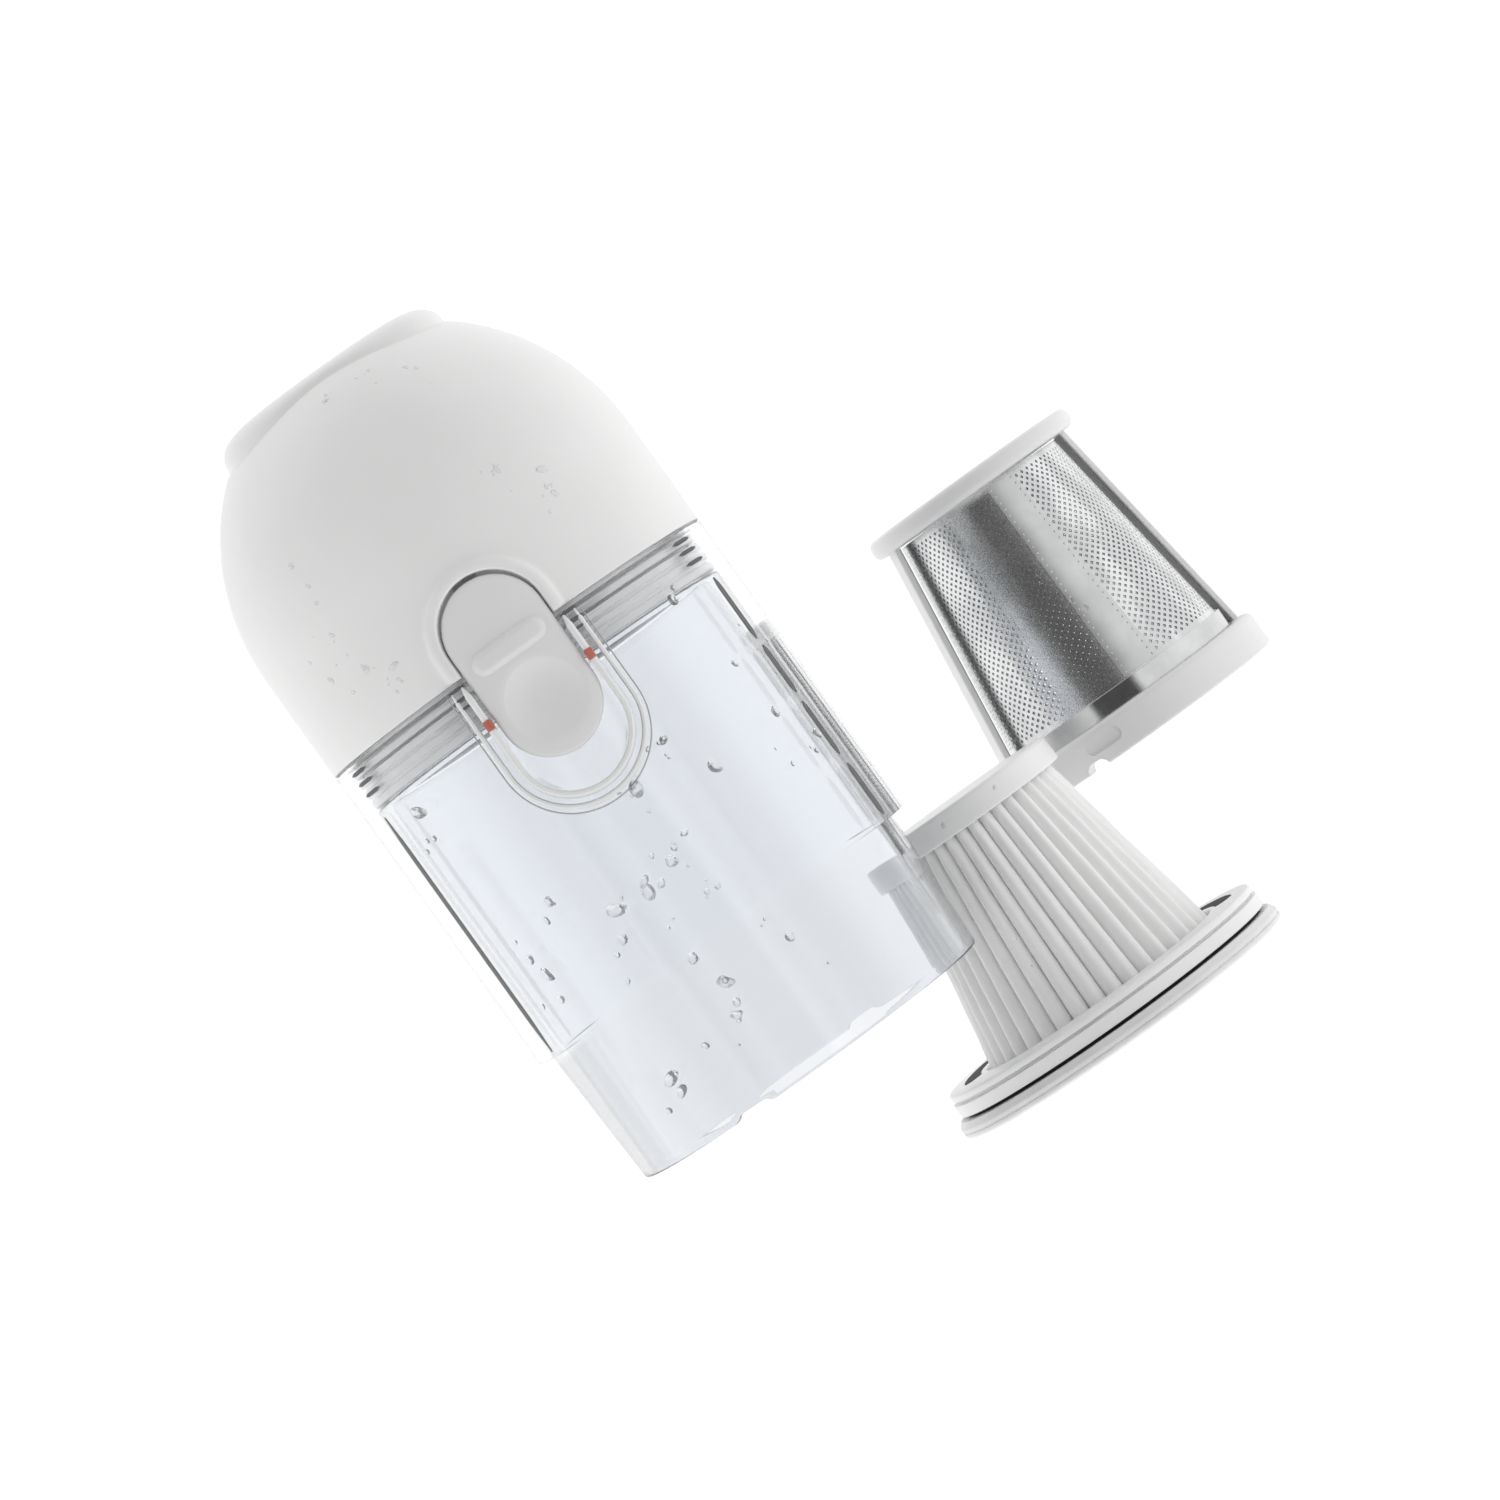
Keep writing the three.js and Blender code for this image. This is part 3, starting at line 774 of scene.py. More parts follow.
def makeFrontShell():
    s = frontShell
    sides = s["sides"]
    seam = -gap / 2
    spread = s["nozzleWidth"] - s["nozzleDepth"]
    rows = [s["domeStart"] + i * (seam - s["domeStart"]) / 14 for i in range(14)]
    rows += [seam - d for d in (0.4, 0.15, 0.05, 0)]
    verts, faces = slottedPlan(-1, seam, rows, sides, s["rim"])

    def outerAt(x, angle):
        lift = profileAt(s["rim"], slotDistance(x, angle, -1))
        return s["radius"] + lift - edgeDrop(seam - x, 0.18)

    bm = bmesh.new()
    inside = s["radius"] - s["wall"]
    raiseWall(bm, verts, faces, outerAt, inside, s["domeStart"])
    angles = [-math.pi + 2 * math.pi * i / sides for i in range(sides)]

    def domeRow(t, radius, length, width):  # t 0 at the tube, 1 at the collar
        row = []
        for a in angles:
            stop = math.asin(min(1, ovalRadius(width, a, spread) / radius))
            turnAt = math.pi / 2 + (stop - math.pi / 2) * t
            x = s["domeStart"] - length * math.cos(turnAt)
            row.append(around(x, radius * math.sin(turnAt), a))
        return row

    def collarRow(x, width):
        return [around(x, ovalRadius(width, a, spread), a) for a in angles]

    creaseWidth = s["nozzleWidth"] + s["crease"]
    rows = [domeRow(i / s["domeSteps"], s["radius"], s["domeLength"], creaseWidth)
            for i in range(s["domeSteps"] + 1)]
    creaseX = [p.x for p in rows[-1]]
    along, across = s["rimRound"]
    topX = s["nozzleFace"] + along  # where the rounded rim starts

    for t in (0.25, 0.55, 1):  # the collar's side wall follows the crease all the way round
        row = []
        for a, x0 in zip(angles, creaseX):
            width = s["nozzleWidth"] + s["crease"] * (1 - t) ** 2
            x = x0 - s["crease"] * t**2
            if x <= topX - 1.2:
                x = topX - 1.2 + (1 - t)
            row.append(around(x, ovalRadius(width, a, spread), a))
        rows.append(row)
    for i in range(1, s["rimSteps"] + 1):
        b = math.pi / 2 * i / s["rimSteps"]
        width = s["nozzleWidth"] - across * (1 - math.cos(b))
        row = []
        for a, x0 in zip(angles, creaseX):
            top = min(x0 - s["crease"], topX)
            x = s["nozzleFace"] + (top - s["nozzleFace"]) * (1 - math.sin(b))
            row.append(around(x, ovalRadius(width, a, spread), a))
        rows.append(row)
    rows.append(collarRow(s["nozzleFace"], s["bore"]))
    rows += [collarRow(x, s["bore"] - 0.15) for x in (s["nozzleFace"] + 0.3, -38.5, -35.5)]
    inner = (inside, s["domeLength"] - s["wall"], s["nozzleWidth"] - 0.6)
    rows += [domeRow(1 - i / 12, *inner) for i in range(13)]
    skin(bm, rows, closeRows=False)
    setPiece(bm, "front_shell_satin", cupSeat, "front", "white_plastic", finishes["shell"],
             ["front_shell"])


# Clear inner cup, open at the mouth, with two small notches in its rim
innerCup = {
    "start": 6.3,
    "radius": 25.4,
    "mouthRadius": 24.7,
    "bore": 23.5,
    "taperStart": 43.7,
    "mouth": 61.4,
    "round": 0.35,
    "notchAngles": (-20, 160),
    "notchHalf": 2.3,
    "notchDepth": 0.65,
    "sides": 240,
}


def makeInnerCup():
    s = innerCup
    first, last, high, low = s["start"], s["mouth"], s["radius"], s["mouthRadius"]
    slope = (high - low) / (last - s["taperStart"])
    corners = [
        (first, s["bore"], 0.2), (first, high, 0.3), (first + 0.5, high), (first + 1.2, high),
        (20, high), (s["taperStart"], high, 3), (last - 2.2, low + slope * 2.2),
        (last - 1.1, low + slope * 1.1), (last, low, s["round"]), (last, s["bore"], s["round"]),
        (last - 1.1, s["bore"]), (last - 2.2, s["bore"]), (30, s["bore"]),
        (first + 1.2, s["bore"]), (first + 0.5, s["bore"]),
    ]
    profile = rounded(corners)
    rows = []
    for x, radius in profile:
        row = []
        for i in range(s["sides"]):
            a = 2 * math.pi * i / s["sides"]
            shift = 0
            if x > s["mouth"] - 1:
                for notch in s["notchAngles"]:
                    off = (a - math.radians(notch) + math.pi) % (2 * math.pi) - math.pi
                    reach = s["notchHalf"] / s["mouthRadius"]
                    edge = min(1, max(0, (reach - abs(off)) / 0.02 + 0.5))
                    shift = max(shift, edge * s["notchDepth"])
            row.append(around(x - shift, radius, a))
        rows.append(row)
    bm = bmesh.new()
    skin(bm, rows)
    setPiece(bm, "clear_inner_cup", cupSeat, "cup", "clear_plastic", finishes["clear"],
             ["inner_cup"])


# Clear neck under the seam: the joining ring with its ribs
neckRing = {
    "corners": [
        (-4, 22.6, 0.3), (-4, 25.1, 0.4), (0.4, 25.1, 0.1), (0.5, 24.1, 0.1), (2.1, 24.1, 0.1),
        (2.2, 25.4, 0.15), (3, 25.4, 0.1), (3.1, 24.9, 0.05), (3.5, 24.9, 0.05), (3.6, 25.4, 0.1),
        (4.4, 25.4, 0.1), (4.5, 25, 0.05), (4.9, 25, 0.05), (5, 25.4, 0.1), (6, 25.4, 0.3),
        (6, 22.6, 0.3),
    ],
    "steps": 3,
    "sides": 160,
    "closed": True,
}
neckSeal = {
    "corners": [(0.85, 24.35, 0.2), (0.85, 25.3, 0.3), (1.8, 25.3, 0.3), (1.8, 24.35, 0.2)],
    "steps": 4,
    "sides": 160,
    "closed": True,
}


def makeNeck():
    setRing(neckRing, "neck_joining_ring", cupSeat, "cup", "clear_plastic", finishes["neck"],
            ["neck_ring"])
    setRing(neckSeal, "neck_seal_ring", cupSeat, "cup", "grey_rubber", finishes["neckSeal"],
            ["neck_seal"])


# Release button: oval plate with a grip bar and a thumb dish
button = {
    "front": -8.9,
    "back": 14.6,
    "half": 6.4,
    "radius": 27.3,
    "under": 25.6,
    "edgeRound": 0.45,
    "barX": 0.1,
    "barReach": 3.6,
    "barHalf": 1.45,
    "barHeight": 0.6,
    "barSlope": 0.75,
    "dishX": 7.5,
    "dishR": 5.1,
    "dishEdge": 0.96,  # share of the dish's radius
    "dishDepth": 1.5,
}


def smooth(t):
    t = min(1, max(0, t))
    return t * t * (3 - 2 * t)


def makeButton():
    s = button
    ends = (s["front"] + s["half"], s["back"] - s["half"])

    def inset(x, y):  # distance inside the outline
        past = max(ends[0] - x, x - ends[1], 0)
        return s["half"] - math.hypot(past, y)

    def outline(offset, bend=28, straight=22):
        half = s["half"] - offset
        points = []
        for side, centre, other in ((1, ends[1], ends[0]), (-1, ends[0], ends[1])):
            for i in range(bend):
                a = math.pi * i / bend - side * math.pi / 2
                points.append((centre + half * math.cos(a), half * math.sin(a)))
            for i in range(straight):
                points.append((centre + (other - centre) * i / straight, side * half))
        return points

    def barAt(x, y):
        past = max(abs(y) - s["barReach"], 0)
        d = math.hypot(past, x - s["barX"])
        t = min(1, max(0, (s["barHalf"] - d) / s["barSlope"]))
        return s["barHeight"] * math.sin(t * math.pi / 2) ** 0.8

    def dishAt(x, y):  # a bowl with a soft edge
        t = math.hypot(x - s["dishX"], y) / s["dishR"]
        if t < s["dishEdge"]:
            return s["dishDepth"] * (1 - t * t)
        step = s["dishDepth"] * (1 - s["dishEdge"] ** 2)
        return step * (1 - smooth((t - s["dishEdge"]) / 0.12))

    def top(x, y):
        z = math.sqrt(s["radius"] ** 2 - y * y)
        return z - edgeDrop(inset(x, y), s["edgeRound"]) + barAt(x, y) - dishAt(x, y)

    points, edges = [], []
    for offset in (0, 0.03, 0.1, 0.22, 0.45, 0.8):
        first = len(points)
        line = outline(offset)
        points += line
        edges += [(first + i, first + (i + 1) % len(line)) for i in range(len(line))]
    for t in (0.3, 0.5, 0.7, 0.85, 0.93, 0.96, 1.0, 1.04, 1.08):
        count = 64
        points += [(s["dishX"] + s["dishR"] * t * math.cos(2 * math.pi * i / count),
                    s["dishR"] * t * math.sin(2 * math.pi * i / count)) for i in range(count)]
    for d in (0.2, 0.55, 0.7, 0.9, 1.1, 1.3, 1.45, 1.6):
        for i in range(17):
            a = math.pi * i / 16
            points.append((s["barX"] + d * math.cos(a), s["barReach"] + d * math.sin(a)))
            points.append((s["barX"] + d * math.cos(a), -s["barReach"] - d * math.sin(a)))
        for i in range(1, 16):
            y = s["barReach"] * (2 * i / 16 - 1)
            points += [(s["barX"] + d, y), (s["barX"] - d, y)]
    step = 0.5
    for i in range(48):
        for j in range(-12, 13):
            x, y = s["front"] + i * step, j * step
            clearOfBar = math.hypot(max(abs(y) - s["barReach"], 0), x - s["barX"]) > 1.8
            clearOfDish = math.hypot(x - s["dishX"], y) > s["dishR"] * 1.12
            if inset(x, y) > 1 and clearOfBar and clearOfDish:
                points.append((x, y))
    plan = delaunay_2d_cdt([Vector(p) for p in points], edges, [], 1, 1e-5)
    bm = bmesh.new()
    upper = [bm.verts.new((p.x, p.y, top(p.x, p.y))) for p in plan[0]]
    narrow = s["under"] / slot["bodyR"]  # the slot's sides are radial, so the button's are too
    lower = [bm.verts.new((p.x, p.y * narrow, math.sqrt(s["under"] ** 2 - (p.y * narrow) ** 2)))
             for p in plan[0]]
    raisePlan(bm, plan[2], upper, lower)
    for i, j in borderOf(plan[2]):
        bm.faces.new((upper[j], upper[i], lower[i], lower[j]))
    setPiece(bm, "release_button_cap", cupSeat, "button", "pale_plastic", finishes["button"],
             ["release_button"], weighted=False)


# Mesh filter: cap, struts and ring; the perforated cone; the plain collar
meshFilter = {
    "capStart": 13.5,
    "capEnd": 16.2,
    "capR": 15.8,
    "ringStart": 49.6,
    "ringEnd": 54.6,
    "ringR": 20,
    "ringBore": 17.4,
    "recess": {"angle": -19, "along": 2.2, "half": 1, "length": 5.4, "depth": 0.5},
    "notch": {"angle": -26.5, "half": 1.25, "length": 3.3},
    "strutAngles": (-12, 168),  # degrees from +Y towards the front
    "strutX": (15, 50.5),
    "strutR": (14.4, 17.6, 0.137),  # radius, where, rise per mm
    "strutWidth": 3.8,
    "strutThick": 0.85,
    # the next three entries place the painted shade strips under the struts
    "edgeX": (16.4, 49.4),
    "shadeHalf": 1.3,
    "shadeThick": 0.2,
    "coneStart": 16.5,
    "coneEnd": 47.15,
    "coneR": (12.3, 16.4),
    "cells": (80, 27),
    "wire": 0.52,  # share of a cell's width that is metal
    "thick": 0.22,
    "seam": (2.2, 21),  # degrees from the front towards +Y
    "dense": [(-28, -16, 0.12), (-16, 2.2, 0.13), (2.2, 21, 0.1)],  # degrees, share that is hole
    "welds": 30,
}


def bayonetCutters(s, turned):  # the shallow recess and the entry notch beside it
    made = []
    recess, notch = s["recess"], s["notch"]
    shapes = (
        (s["ringStart"] + recess["along"], recess, s["ringR"] - recess["depth"]),
        (s["ringEnd"] + notch["half"] - 1.2, notch, s["ringBore"] - 2),
    )
    for x, cut, floor in shapes:
        bm = bmesh.new()
        rows = []
        for height in (floor, s["ringR"] + 2):
            row = []
            for i in range(40):
                a = 2 * math.pi * i / 40
                shift = math.copysign(cut["length"] / 2 - cut["half"], math.sin(a))
                y = cut["half"] * math.sin(a) + shift
                row.append(Vector((x + cut["half"] * math.cos(a), y, height)))
            rows.append(row)
        addBar(bm, rows)
        bm.transform(Matrix.Rotation(math.radians(-cut["angle"] + turned), 4, "X"))
        made.append(bm)
    return made


def addStruts(bm, reach, sectionAt):  # bars along the cone, where the two struts run
    radius, where, rise = meshFilter["strutR"]
    for degrees in meshFilter["strutAngles"]:
        a = math.radians(90 - degrees)
        out = around(0, 1, a)
        side = Vector((0, math.cos(a), -math.sin(a)))
        rows = []
        for i in range(13):
            x = reach[0] + (reach[1] - reach[0]) * i / 12
            section = sectionAt(radius + (x - where) * rise)
            rows.append([Vector((x, 0, 0)) + side * p[0] + out * p[1] for p in section])
        addBar(bm, rows)


def makeMeshFrame():
    s = meshFilter
    ring = bmesh.new()
    corners = [(s["ringStart"], s["ringBore"], 0.2), (s["ringStart"], s["ringR"], 0.9),
               (s["ringEnd"], s["ringR"], 0.4), (s["ringEnd"], s["ringBore"], 0.3)]
    turn(ring, rounded(corners, 5), 240)
    cutters = [c for t in (0, 180) for c in bayonetCutters(s, t)]
    bm = carve(ring, *cutters)
    corners = [(s["capStart"] - 0.12, 0), (s["capStart"], 11, 0),
               (s["capStart"] + 0.1, s["capR"], 1.0), (s["capEnd"], s["capR"], 0.9), (s["capEnd"], 0)]
    turn(bm, rounded(corners, 6), 200, closed=False)

    def sectionAt(r):
        half, low = s["strutWidth"] / 2, r - s["strutThick"]
        return rounded([(-half, low, 0.15), (half, low, 0.15), (half, r, 0.3), (-half, r, 0.3)], 3)

    addStruts(bm, s["strutX"], sectionAt)
    setPiece(bm, "mesh_filter_frame", meshSeat, "mesh", "filter_plastic", finishes["meshPlastic"],
             ["mesh_frame"])


def coneR(x):
    s = meshFilter
    t = (x - s["coneStart"]) / (s["coneEnd"] - s["coneStart"])
    return s["coneR"][0] + (s["coneR"][1] - s["coneR"][0]) * t


def makeMeshCone():
    s = meshFilter
    columns, rowCount = s["cells"]
    border = 0.5  # mm of plain sheet at each end
    x0, x1 = s["coneStart"] + border, s["coneEnd"] - border
    bm = bmesh.new()

    def spot(u, v, depth):
        x = x0 + (x1 - x0) * v / rowCount
        return around(x, coneR(x) - depth, 2 * math.pi * u / columns)

    def keepAt(column):  # the sheet is denser in the strips beside its seam
        degrees = (180 * column / columns + 180) % 360 - 180
        for start, end, share in s["dense"]:
            if start < degrees < end:
                return share
        return 1 - s["wire"]

    for depth in (0, s["thick"]):
        corner = {}

        def at(u2, v2):
            key = (u2 % (2 * columns), v2)
            if key not in corner:
                corner[key] = bm.verts.new(spot(u2 / 2, v2 / 2, depth))
            return corner[key]

        for j in range(1, 2 * rowCount):
            for i in range(2 * columns):
                if (i + j) % 2 == 0:
                    continue
                outer = [at(i, j - 1), at(i + 1, j), at(i, j + 1), at(i - 1, j)]
                keep = keepAt(i)
                hole = [bm.verts.new(spot((i + du * keep) / 2, (j + dv * keep) / 2, depth))
                        for du, dv in ((0, -1), (1, 0), (0, 1), (-1, 0))]
                for k in range(4):
                    n = (k + 1) % 4
                    bm.faces.new((outer[k], outer[n], hole[n], hole[k]))
        for j, edgeX in ((0, s["coneStart"]), (2 * rowCount, s["coneEnd"])):
            for i in range(0, 2 * columns, 2):
                a, b, c = at(i, j), at(i + 2, j), at(i + 1, j + (1 if j == 0 else -1))
                bm.faces.new((a, b, c))
                r = coneR(edgeX) - depth
                p = bm.verts.new(around(edgeX, r, math.pi * i / columns))
                q = bm.verts.new(around(edgeX, r, math.pi * (i + 2) / columns))
                bm.faces.new((a, b, q, p))
    setPiece(bm, "mesh_filter_sieve", meshSeat, "mesh", "mesh_steel", finishes["sieve"],
             ["mesh_cone"], weighted=False)


def makeSeamStrip():  # the lapped seam of the rolled sheet, with its two rows of spot welds
    s = meshFilter
    seamFrom, seamTo = (math.radians(a) for a in s["seam"])
    bm = bmesh.new()
    rows = []
    for i in range(25):
        x = s["coneStart"] + 0.3 + (s["coneEnd"] - s["coneStart"] - 0.6) * i / 24
        low, high = coneR(x) + 0.02, coneR(x) + 0.14
        row = [around(x, high, seamFrom + (seamTo - seamFrom) * k / 12) for k in range(13)]
        row += [around(x, low, seamTo + (seamFrom - seamTo) * k / 12) for k in range(13)]
        rows.append(row)
    addBar(bm, rows)
    for angle in (seamFrom + 0.03, seamTo - 0.03):
        for i in range(s["welds"]):
            x = s["coneStart"] + 0.8 + (s["coneEnd"] - s["coneStart"] - 1.6) * i / (s["welds"] - 1)
            made = bmesh.ops.create_icosphere(bm, subdivisions=2, radius=0.17)
            place = Matrix.Translation(around(x, coneR(x) + 0.14, angle))
            flat = Matrix.Rotation(-angle, 4, "X") @ Matrix.Diagonal((1, 1, 0.6, 1))
            bmesh.ops.transform(bm, matrix=place @ flat, verts=made["verts"])
    setPiece(bm, "mesh_filter_seam", meshSeat, "mesh", "mesh_steel", finishes["seam"])


def makeStrutShade():  # painted shade: dark grey strips under the struts' inner edges, standing in for the shade between the struts and the sheet
    s = meshFilter

    def sectionAt(r):
        half, high = s["shadeHalf"], r - s["strutThick"] - 0.02
        low = high - s["shadeThick"]
        return [(-half, low), (half, low), (half, high), (-half, high)]

    bm = bmesh.new()
    addStruts(bm, s["edgeX"], sectionAt)
    setPiece(bm, "mesh_filter_strut_shade", meshSeat, "mesh", "mesh_steel", finishes["strutShade"])


meshCollar = {
    "corners": [(47, 16.6, 0.1), (47, 16.95, 0.12), (53.6, 16.95, 0.12), (53.6, 16.6, 0.1)],
    "steps": 3,
    "sides": 200,
    "closed": True,
}


def makeMeshCollar():
    setRing(meshCollar, "mesh_filter_collar", meshSeat, "mesh", "mesh_steel", finishes["collar"],
            ["mesh_collar"])


# Pleated filter
pleats = {
    "count": 38,
    "start": 48.7,
    "end": 77.6,
    "rise": 0.186,
    "outer": 11.73,
    "capEnd": 49.9,
    "depth": (1.15, 1.5),
    "thick": 0.7,
    "pointsPerFold": 14,
    "rows": 14,
}


def makePleatMedia():
    s = pleats
    total = s["count"] * s["pointsPerFold"]

    def row(x, inner):
        t = (x - s["start"]) / (s["end"] - s["start"])
        crest = s["outer"] + (x - s["capEnd"]) * s["rise"]
        depth = s["depth"][0] + (s["depth"][1] - s["depth"][0]) * t
        points = []
        for i in range(total):
            a = 2 * math.pi * i / total
            swing = abs(math.sin(a * s["count"] / 2))  # 0 in a valley, 1 on a crest
            wobble = 0.04 * math.sin(a * 11 + x * 0.4) + 0.03 * math.sin(a * 23 + x * 0.9)
            fold = 1 - swing**0.62
            radius = crest - depth * fold + wobble * (1 - fold)
            points.append(around(x, radius - (s["thick"] if inner else 0), a))
        return points

    steps = s["rows"]
    xs = [s["start"] + (s["end"] - s["start"]) * i / steps for i in range(steps + 1)]
    rows = [row(x, False) for x in xs] + [row(x, True) for x in reversed(xs)]
    bm = bmesh.new()
    skin(bm, rows)
    setPiece(bm, "pleated_media", pleatSeat, "pleated", "pleated_paper", finishes["paper"],
             ["pleat_media"], sharp=60)


pleatCap = {
    "corners": [(46.35, 0), (46.4, 8), (46.5, 12.75, 0.25), (46.9, 13.0, 0.15), (49.3, 13.15),
                (49.9, 13.1, 0.2), (49.9, 12.1), (48.3, 12.1), (48.3, 0)],
    "steps": 6,
    "sides": 200,
    "closed": False,
}


def makePleatCap():
    setRing(pleatCap, "pleated_filter_cap", pleatSeat, "pleated", "filter_plastic",
            finishes["pleatPlastic"], ["pleat_cap"])


flange = {
    "start": 76.9,
    "end": 82.6,
    "radius": 23.3,
    "bore": 13,
    "hub": 17.4,
    "arcAngles": (-15, 195),  # degrees from +Y towards the front
    "arcR": (18.2, 20.8),
    "arcHalf": 22,
    "arcRound": 3.8,  # degrees that its round ends take up
}


def makeFlange():
    s = flange
    r = s["radius"]
    corners = [
        (78.4, s["bore"]), (78.4, s["hub"], 0.2), (s["start"], s["hub"], 0.2), (s["start"], r, 0.35),
        (77.85, r, 0.1), (77.9, r - 0.8, 0.05), (78.25, r - 0.8, 0.05), (78.3, r + 0.2, 0.12),
        (80.0, r + 0.2, 0.15), (80.05, 17.6), (s["end"], 17.6, 0.2), (s["end"], s["bore"], 0.2),
    ]
    disc = bmesh.new()
    turn(disc, rounded(corners, 4), 240)
    tools = []
    for angle in s["arcAngles"]:
        tools.append(bmesh.new())
        arcPrism(tools[-1], angle, 75, 85, 0)
    setPiece(carve(disc, *tools), "pleated_filter_flange", pleatSeat, "pleated",
             "filter_plastic", finishes["pleatPlastic"], ["pleat_flange"])


def arcPrism(bm, angle, start, end, inset):  # a bent slot with round ends
    s = flange
    middle, reach = sum(s["arcR"]) / 2, (s["arcR"][1] - s["arcR"][0]) / 2
    rows = []
    steps = 44
    for i in range(steps + 1):
        t = math.sin((2 * i / steps - 1) * math.pi / 2)  # closer together at the round ends
        past = max(0, abs(t) * s["arcHalf"] - (s["arcHalf"] - s["arcRound"])) / s["arcRound"]
        half = max(0.02, reach * math.sqrt(max(0, 1 - past**2)) - inset)
        a = math.radians(90 - angle + t * s["arcHalf"] * (1 - inset * 0.1))
        corners = ((start, middle - half), (start, middle + half), (end, middle + half),
                   (end, middle - half))
        rows.append([around(x, r, a) for x, r in corners])
    addBar(bm, rows)


grooveShade = {
    "corners": [(80.07, 17.7), (80.07, 22.7, 0.08), (80.45, 22.7, 0.08), (80.45, 17.7)],
    "steps": 3,
    "sides": 240,
    "plugEnd": 80.2,
    "plugGap": 0.04,
}


def makeGrooveShade():  # painted shade: a black ring between the flange and the lip, with plugs in the slots, standing in for the shade seen in the groove and the slots
    s = grooveShade
    bm = bmesh.new()
    turn(bm, rounded(s["corners"], s["steps"]), s["sides"])
    for angle in flange["arcAngles"]:
        arcPrism(bm, angle, flange["start"] - 0.02, s["plugEnd"], s["plugGap"])
    setPiece(bm, "flange_groove_shade", pleatSeat, "pleated", "grey_rubber", finishes["grooveShade"])


sealLip = {
    "corners": [
        (80.48, 17.7), (80.48, 23.9, 0.2), (81.3, 24.5, 0.25), (81.75, 24.5, 0.1),
        (81.8, 24.25, 0.05), (81.95, 24.25, 0.05), (82, 24.5, 0.1), (82.5, 24.5, 0.3),
        (82.8, 23.7, 0.2), (82.8, 17.7),
    ],
    "steps": 4,
    "sides": 240,
    "closed": True,
}


def makeSeal():
    setRing(sealLip, "seal_lip", pleatSeat, "pleated", "seal_rubber", finishes["seal"],
            ["seal_ring"])


# Water drops left by rinsing: clusters of (x, degrees from the button, reach, count)
drops = {
    "size": {"front": (0.15, 0.5), "shell": (0.18, 0.85), "cup": (0.18, 0.85),
             "mesh": (0.2, 0.5), "pleated": (0.15, 0.4)},
    "height": 0.4,
    "seed": 7,
    "front": [
        (-37, -3, 2.0, 3), (-36, 14, 2.4, 4), (-33, 26, 2.5, 3), (-17, 23, 2.6, 6), (-12, 32, 2.5, 6),
        (-20, -36, 3, 5), (-13, -41, 3, 5), (-8, -36, 4, 8), (-5, -28, 2.5, 5),
    ],
    "shell": [(6, 44, 4, 3), (20, 15, 2, 6), (23, 4, 2.5, 6), (14, -52, 4, 4), (33, -47, 5, 5),
              (30, 52, 6, 4), (16, 62, 5, 4)],
    "cup": [
        (31, 2, 4, 7), (34, -9, 4, 6), (38, 5, 4, 4), (37, -20, 4, 4), (46, -7, 4, 6),
        (51, -12, 3, 4), (47, 14, 6, 4), (27, 38, 5, 3), (54, -36, 4, 4), (26, -30, 4, 3),
    ],
    "mesh": [(30, -4, 3, 2), (36, 7, 4, 2), (44, 28, 5, 2), (33, -38, 5, 2)],
    "pleated": [(48, -18, 1.0, 3), (66, -24, 5, 3), (48.2, 16, 1.0, 2)],
}


def makeDrops(name, seat, body, finish, targets):
    s = drops
    dice = random.Random(s["seed"])
    graph = bpy.context.evaluated_depsgraph_get()
    trees = [BVHTree.FromObject(bpy.data.objects[t], graph) for t in targets]
    home = seat.inverted()
    bm = bmesh.new()
    for x, degrees, reach, count in s[name]:
        for i in range(count):
            px = x + dice.gauss(0, reach / 2)
            angle = math.radians(degrees) + dice.gauss(0, reach / 2) / 25
            start = seat @ (around(px, 60, angle) * mm)
            aim = (seat.to_3x3() @ around(0, -1, angle)).normalized()
            hits = [h for h in (tree.ray_cast(start, aim, 0.06) for tree in trees) if h[0]]
            if not hits:
                continue
            spot, normal = min(hits, key=lambda h: h[3])[:2]
            small, large = s["size"][name]
            size = small + (large - small) * dice.random() ** 2.2
            addDrop(bm, (home @ spot) / mm, home.to_3x3() @ normal, size, dice)
    setPiece(bm, "drops_on_" + name, seat, body, None, finishes[finish], sharp=180, weighted=False)


def addDrop(bm, spot, normal, size, dice):
    sides, layers = 14, 4
    toSpot = Matrix.Translation(spot) @ normal.to_track_quat("Z", "Y").to_matrix().to_4x4()
    stretch, lean = 1 + dice.random() * 0.7, dice.random() * math.pi
    lumps = [(dice.randint(2, 4), dice.random() * 6.3, dice.random() * 0.12) for i in range(2)]
    rings = []
    for k in range(layers):
        t = k / layers
        ring = []
        for i in range(sides):
            a = 2 * math.pi * i / sides
            r = size * (1 - t**2.2) * (1 + sum(h * math.sin(n * a + o) for n, o, h in lumps))
            z = size * drops["height"] * t**0.8 - 0.02
            p = Vector((r * math.cos(a) * stretch, r * math.sin(a), z))
            ring.append(bm.verts.new(toSpot @ (Matrix.Rotation(lean, 3, "Z") @ p)))
        rings.append(ring)
    top = bm.verts.new(toSpot @ Vector((0, 0, size * drops["height"])))
    for here, there in zip(rings, rings[1:]):
        for i in range(sides):
            j = (i + 1) % sides
            bm.faces.new((here[i], here[j], there[j], there[i]))
    for i in range(sides):
        bm.faces.new((rings[-1][i], rings[-1][(i + 1) % sides], top))
    bm.faces.new(list(reversed(rings[0])))


# Floor and light
studio = {
    "floor": 1.1,  # glow of the white table
    "mouth": 1.2,  # light from beyond the cup's mouth
    "nozzle": 0.5,  # and from beyond its nozzle
    "above": 0.97,  # light from over the button
    "core": 0.09,  # the dark patch that the steel shows
    "side": 1.08,  # light from the filters' side
}


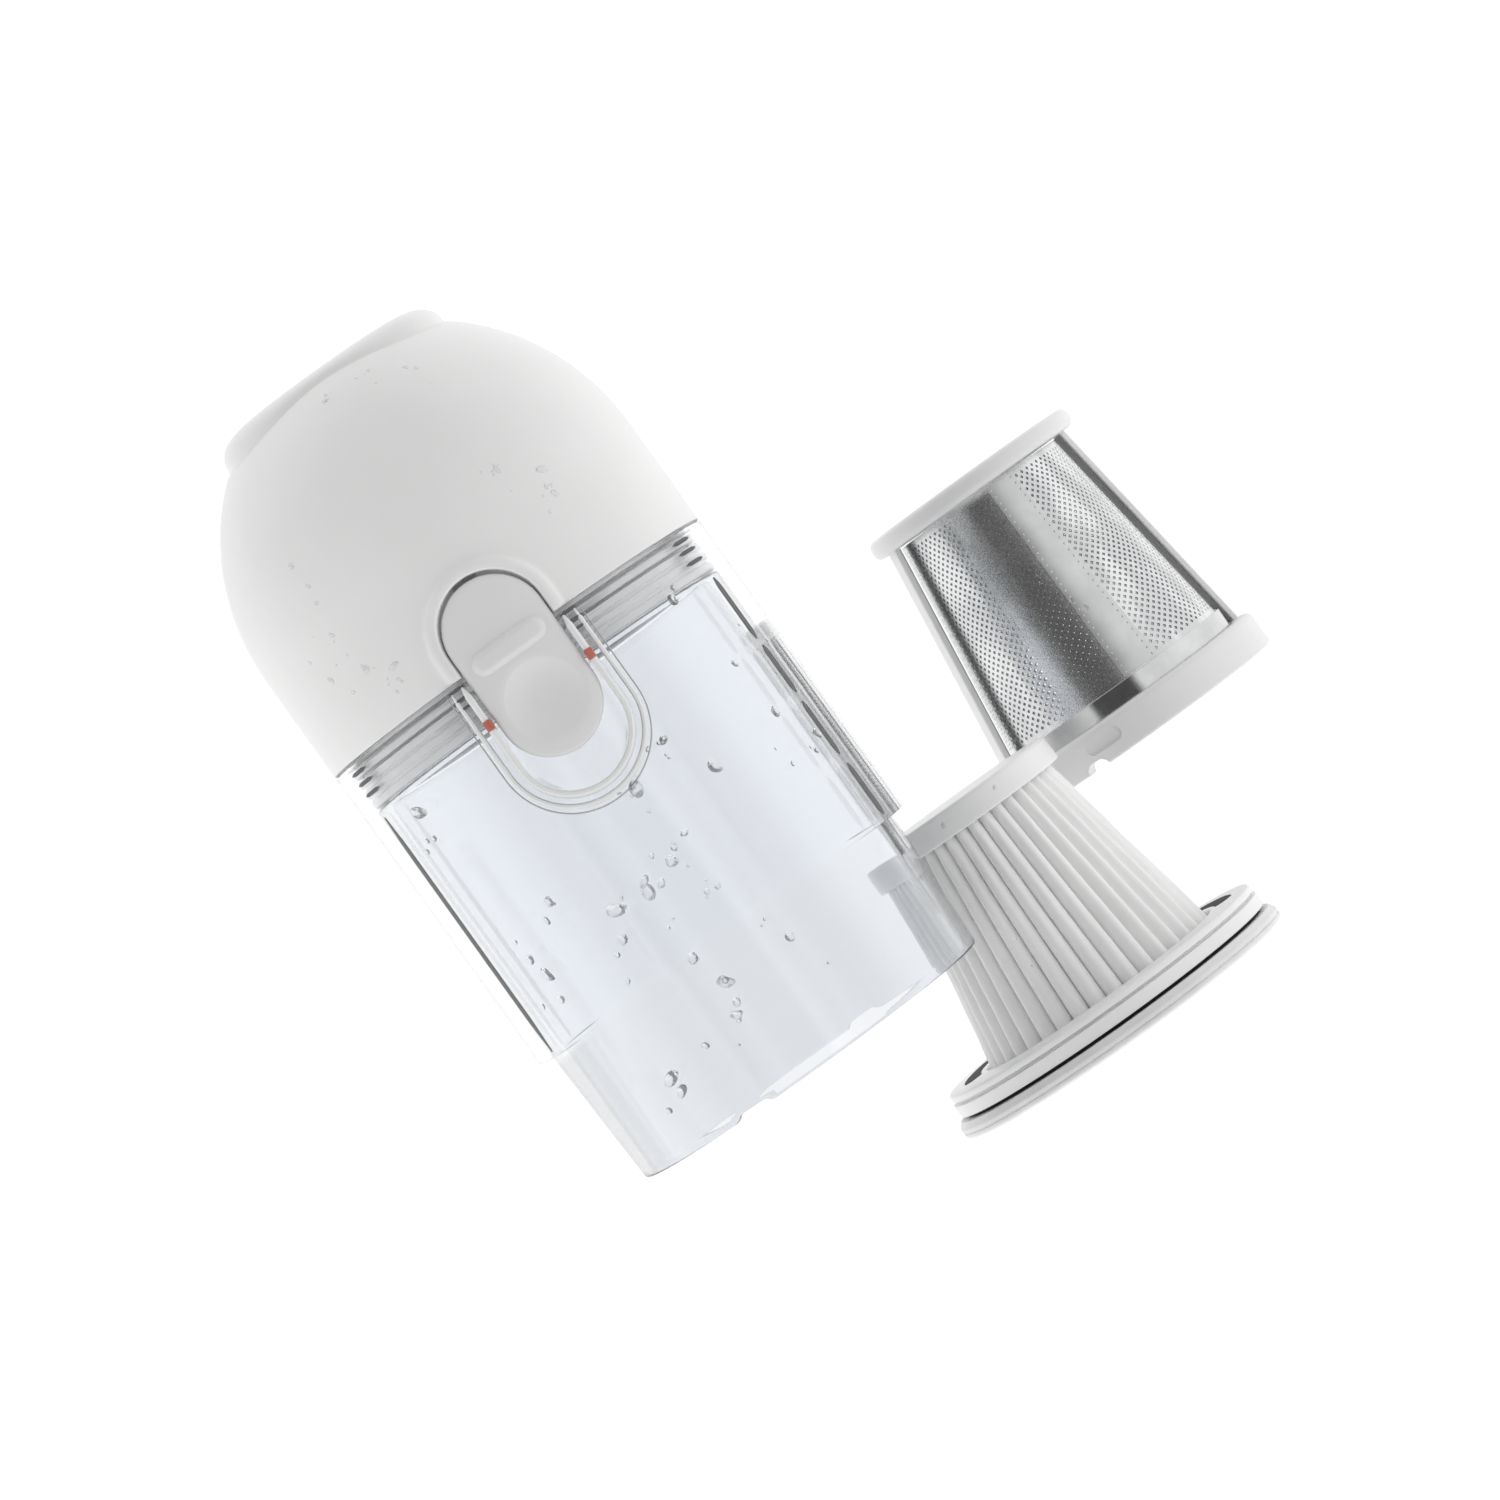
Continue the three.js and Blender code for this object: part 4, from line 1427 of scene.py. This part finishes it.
def makeFloor():
    bm = bmesh.new()
    bmesh.ops.create_grid(bm, x_segments=2, y_segments=2, size=8)
    mesh = bpy.data.meshes.new("floor")
    bm.to_mesh(mesh)
    bm.free()
    floor = addObject("floor", mesh)
    floor.location.z = cadBox[0][2] - 0.0002
    material = bpy.data.materials.new("floor_white")
    material.use_nodes = True
    bench = Bench(material.node_tree)
    glow = bench.add("Emission", None, {"Color": (1, 1, 1), "Strength": studio["floor"]})
    bench.deliver("Material", glow.socket)
    mesh.materials.append(material)


def makeLight():
    world = bpy.data.worlds.new("studio")
    scene.world = world
    world.use_nodes = True
    bench = Bench(world.node_tree)
    ray = bench.add("TexCoord", None, None, 0)
    turned = cupSeat.to_3x3()

    def towards(axis):
        sockets = {0: ray, 1: tuple(turned @ Vector(axis))}
        return bench.add("VectorMath", {"operation": "DOT_PRODUCT"}, sockets, 1)

    along, across, facing = towards((1, 0, 0)), towards((0, 1, 0)), towards((0, 0, 1))
    swing = bench.add("Math", {"operation": "ARCTAN2"}, {0: across, 1: facing})
    level = bench.ramp(along, -0.7, 0.7, studio["nozzle"], studio["mouth"])
    middle = 1 - bench.ramp(abs(along), 0.45, 0.7)
    above = 1 - bench.ramp(abs(swing), 0.85, 1.2)
    level = level + middle * above * (studio["above"] - level)
    core = 1 - bench.ramp(abs(swing + 0.15), 0.34, 0.48)
    level = level + middle * core * (studio["core"] - level)
    level = level + bench.ramp(swing, 0.8, 1.2) * (studio["side"] - level)
    glow = bench.add("Background", None, {"Color": (1, 1, 1), "Strength": level})
    bench.deliver("World", glow.socket)
    scene.view_settings.view_transform = "Standard"


makeCamera()
makeFloor()
makeLight()
makeOuterShell()
makePaintedRimLines()
makePaintedShadeLines()
makeMarks()
makeFrontShell()
makeInnerCup()
makeNeck()
makeButton()
makeMeshFrame()
makeMeshCone()
makeSeamStrip()
makeStrutShade()
makeMeshCollar()
makePleatMedia()
makePleatCap()
makeFlange()
makeGrooveShade()
makeSeal()
makeDrops("front", cupSeat, "front", "dew", ["front_shell_satin"])
makeDrops("shell", cupSeat, "cup", "water", ["clear_outer_shell"])
makeDrops("cup", cupSeat, "cup", "water", ["clear_outer_shell", "clear_inner_cup"])
makeDrops("mesh", meshSeat, "mesh", "water", ["mesh_filter_sieve", "mesh_filter_seam"])
makeDrops("pleated", pleatSeat, "pleated", "dew", ["pleated_filter_cap", "pleated_media"])

# CAD pieces that stay as they are get their finish
kept = {
    "inlet_duct": "pale",
    "inlet_flap": "grey",
    "flap_pin": "spring",
    "latch_hook": "pale",
    "return_spring_left": "spring",
    "return_spring_right": "spring",
    "pleat_cage": "pleatPlastic",
}
for node, finish in kept.items():
    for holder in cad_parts[node].material_slots:
        holder.material = finishes[finish]
print("kept", len(kept))

bpy.context.view_layer.update()
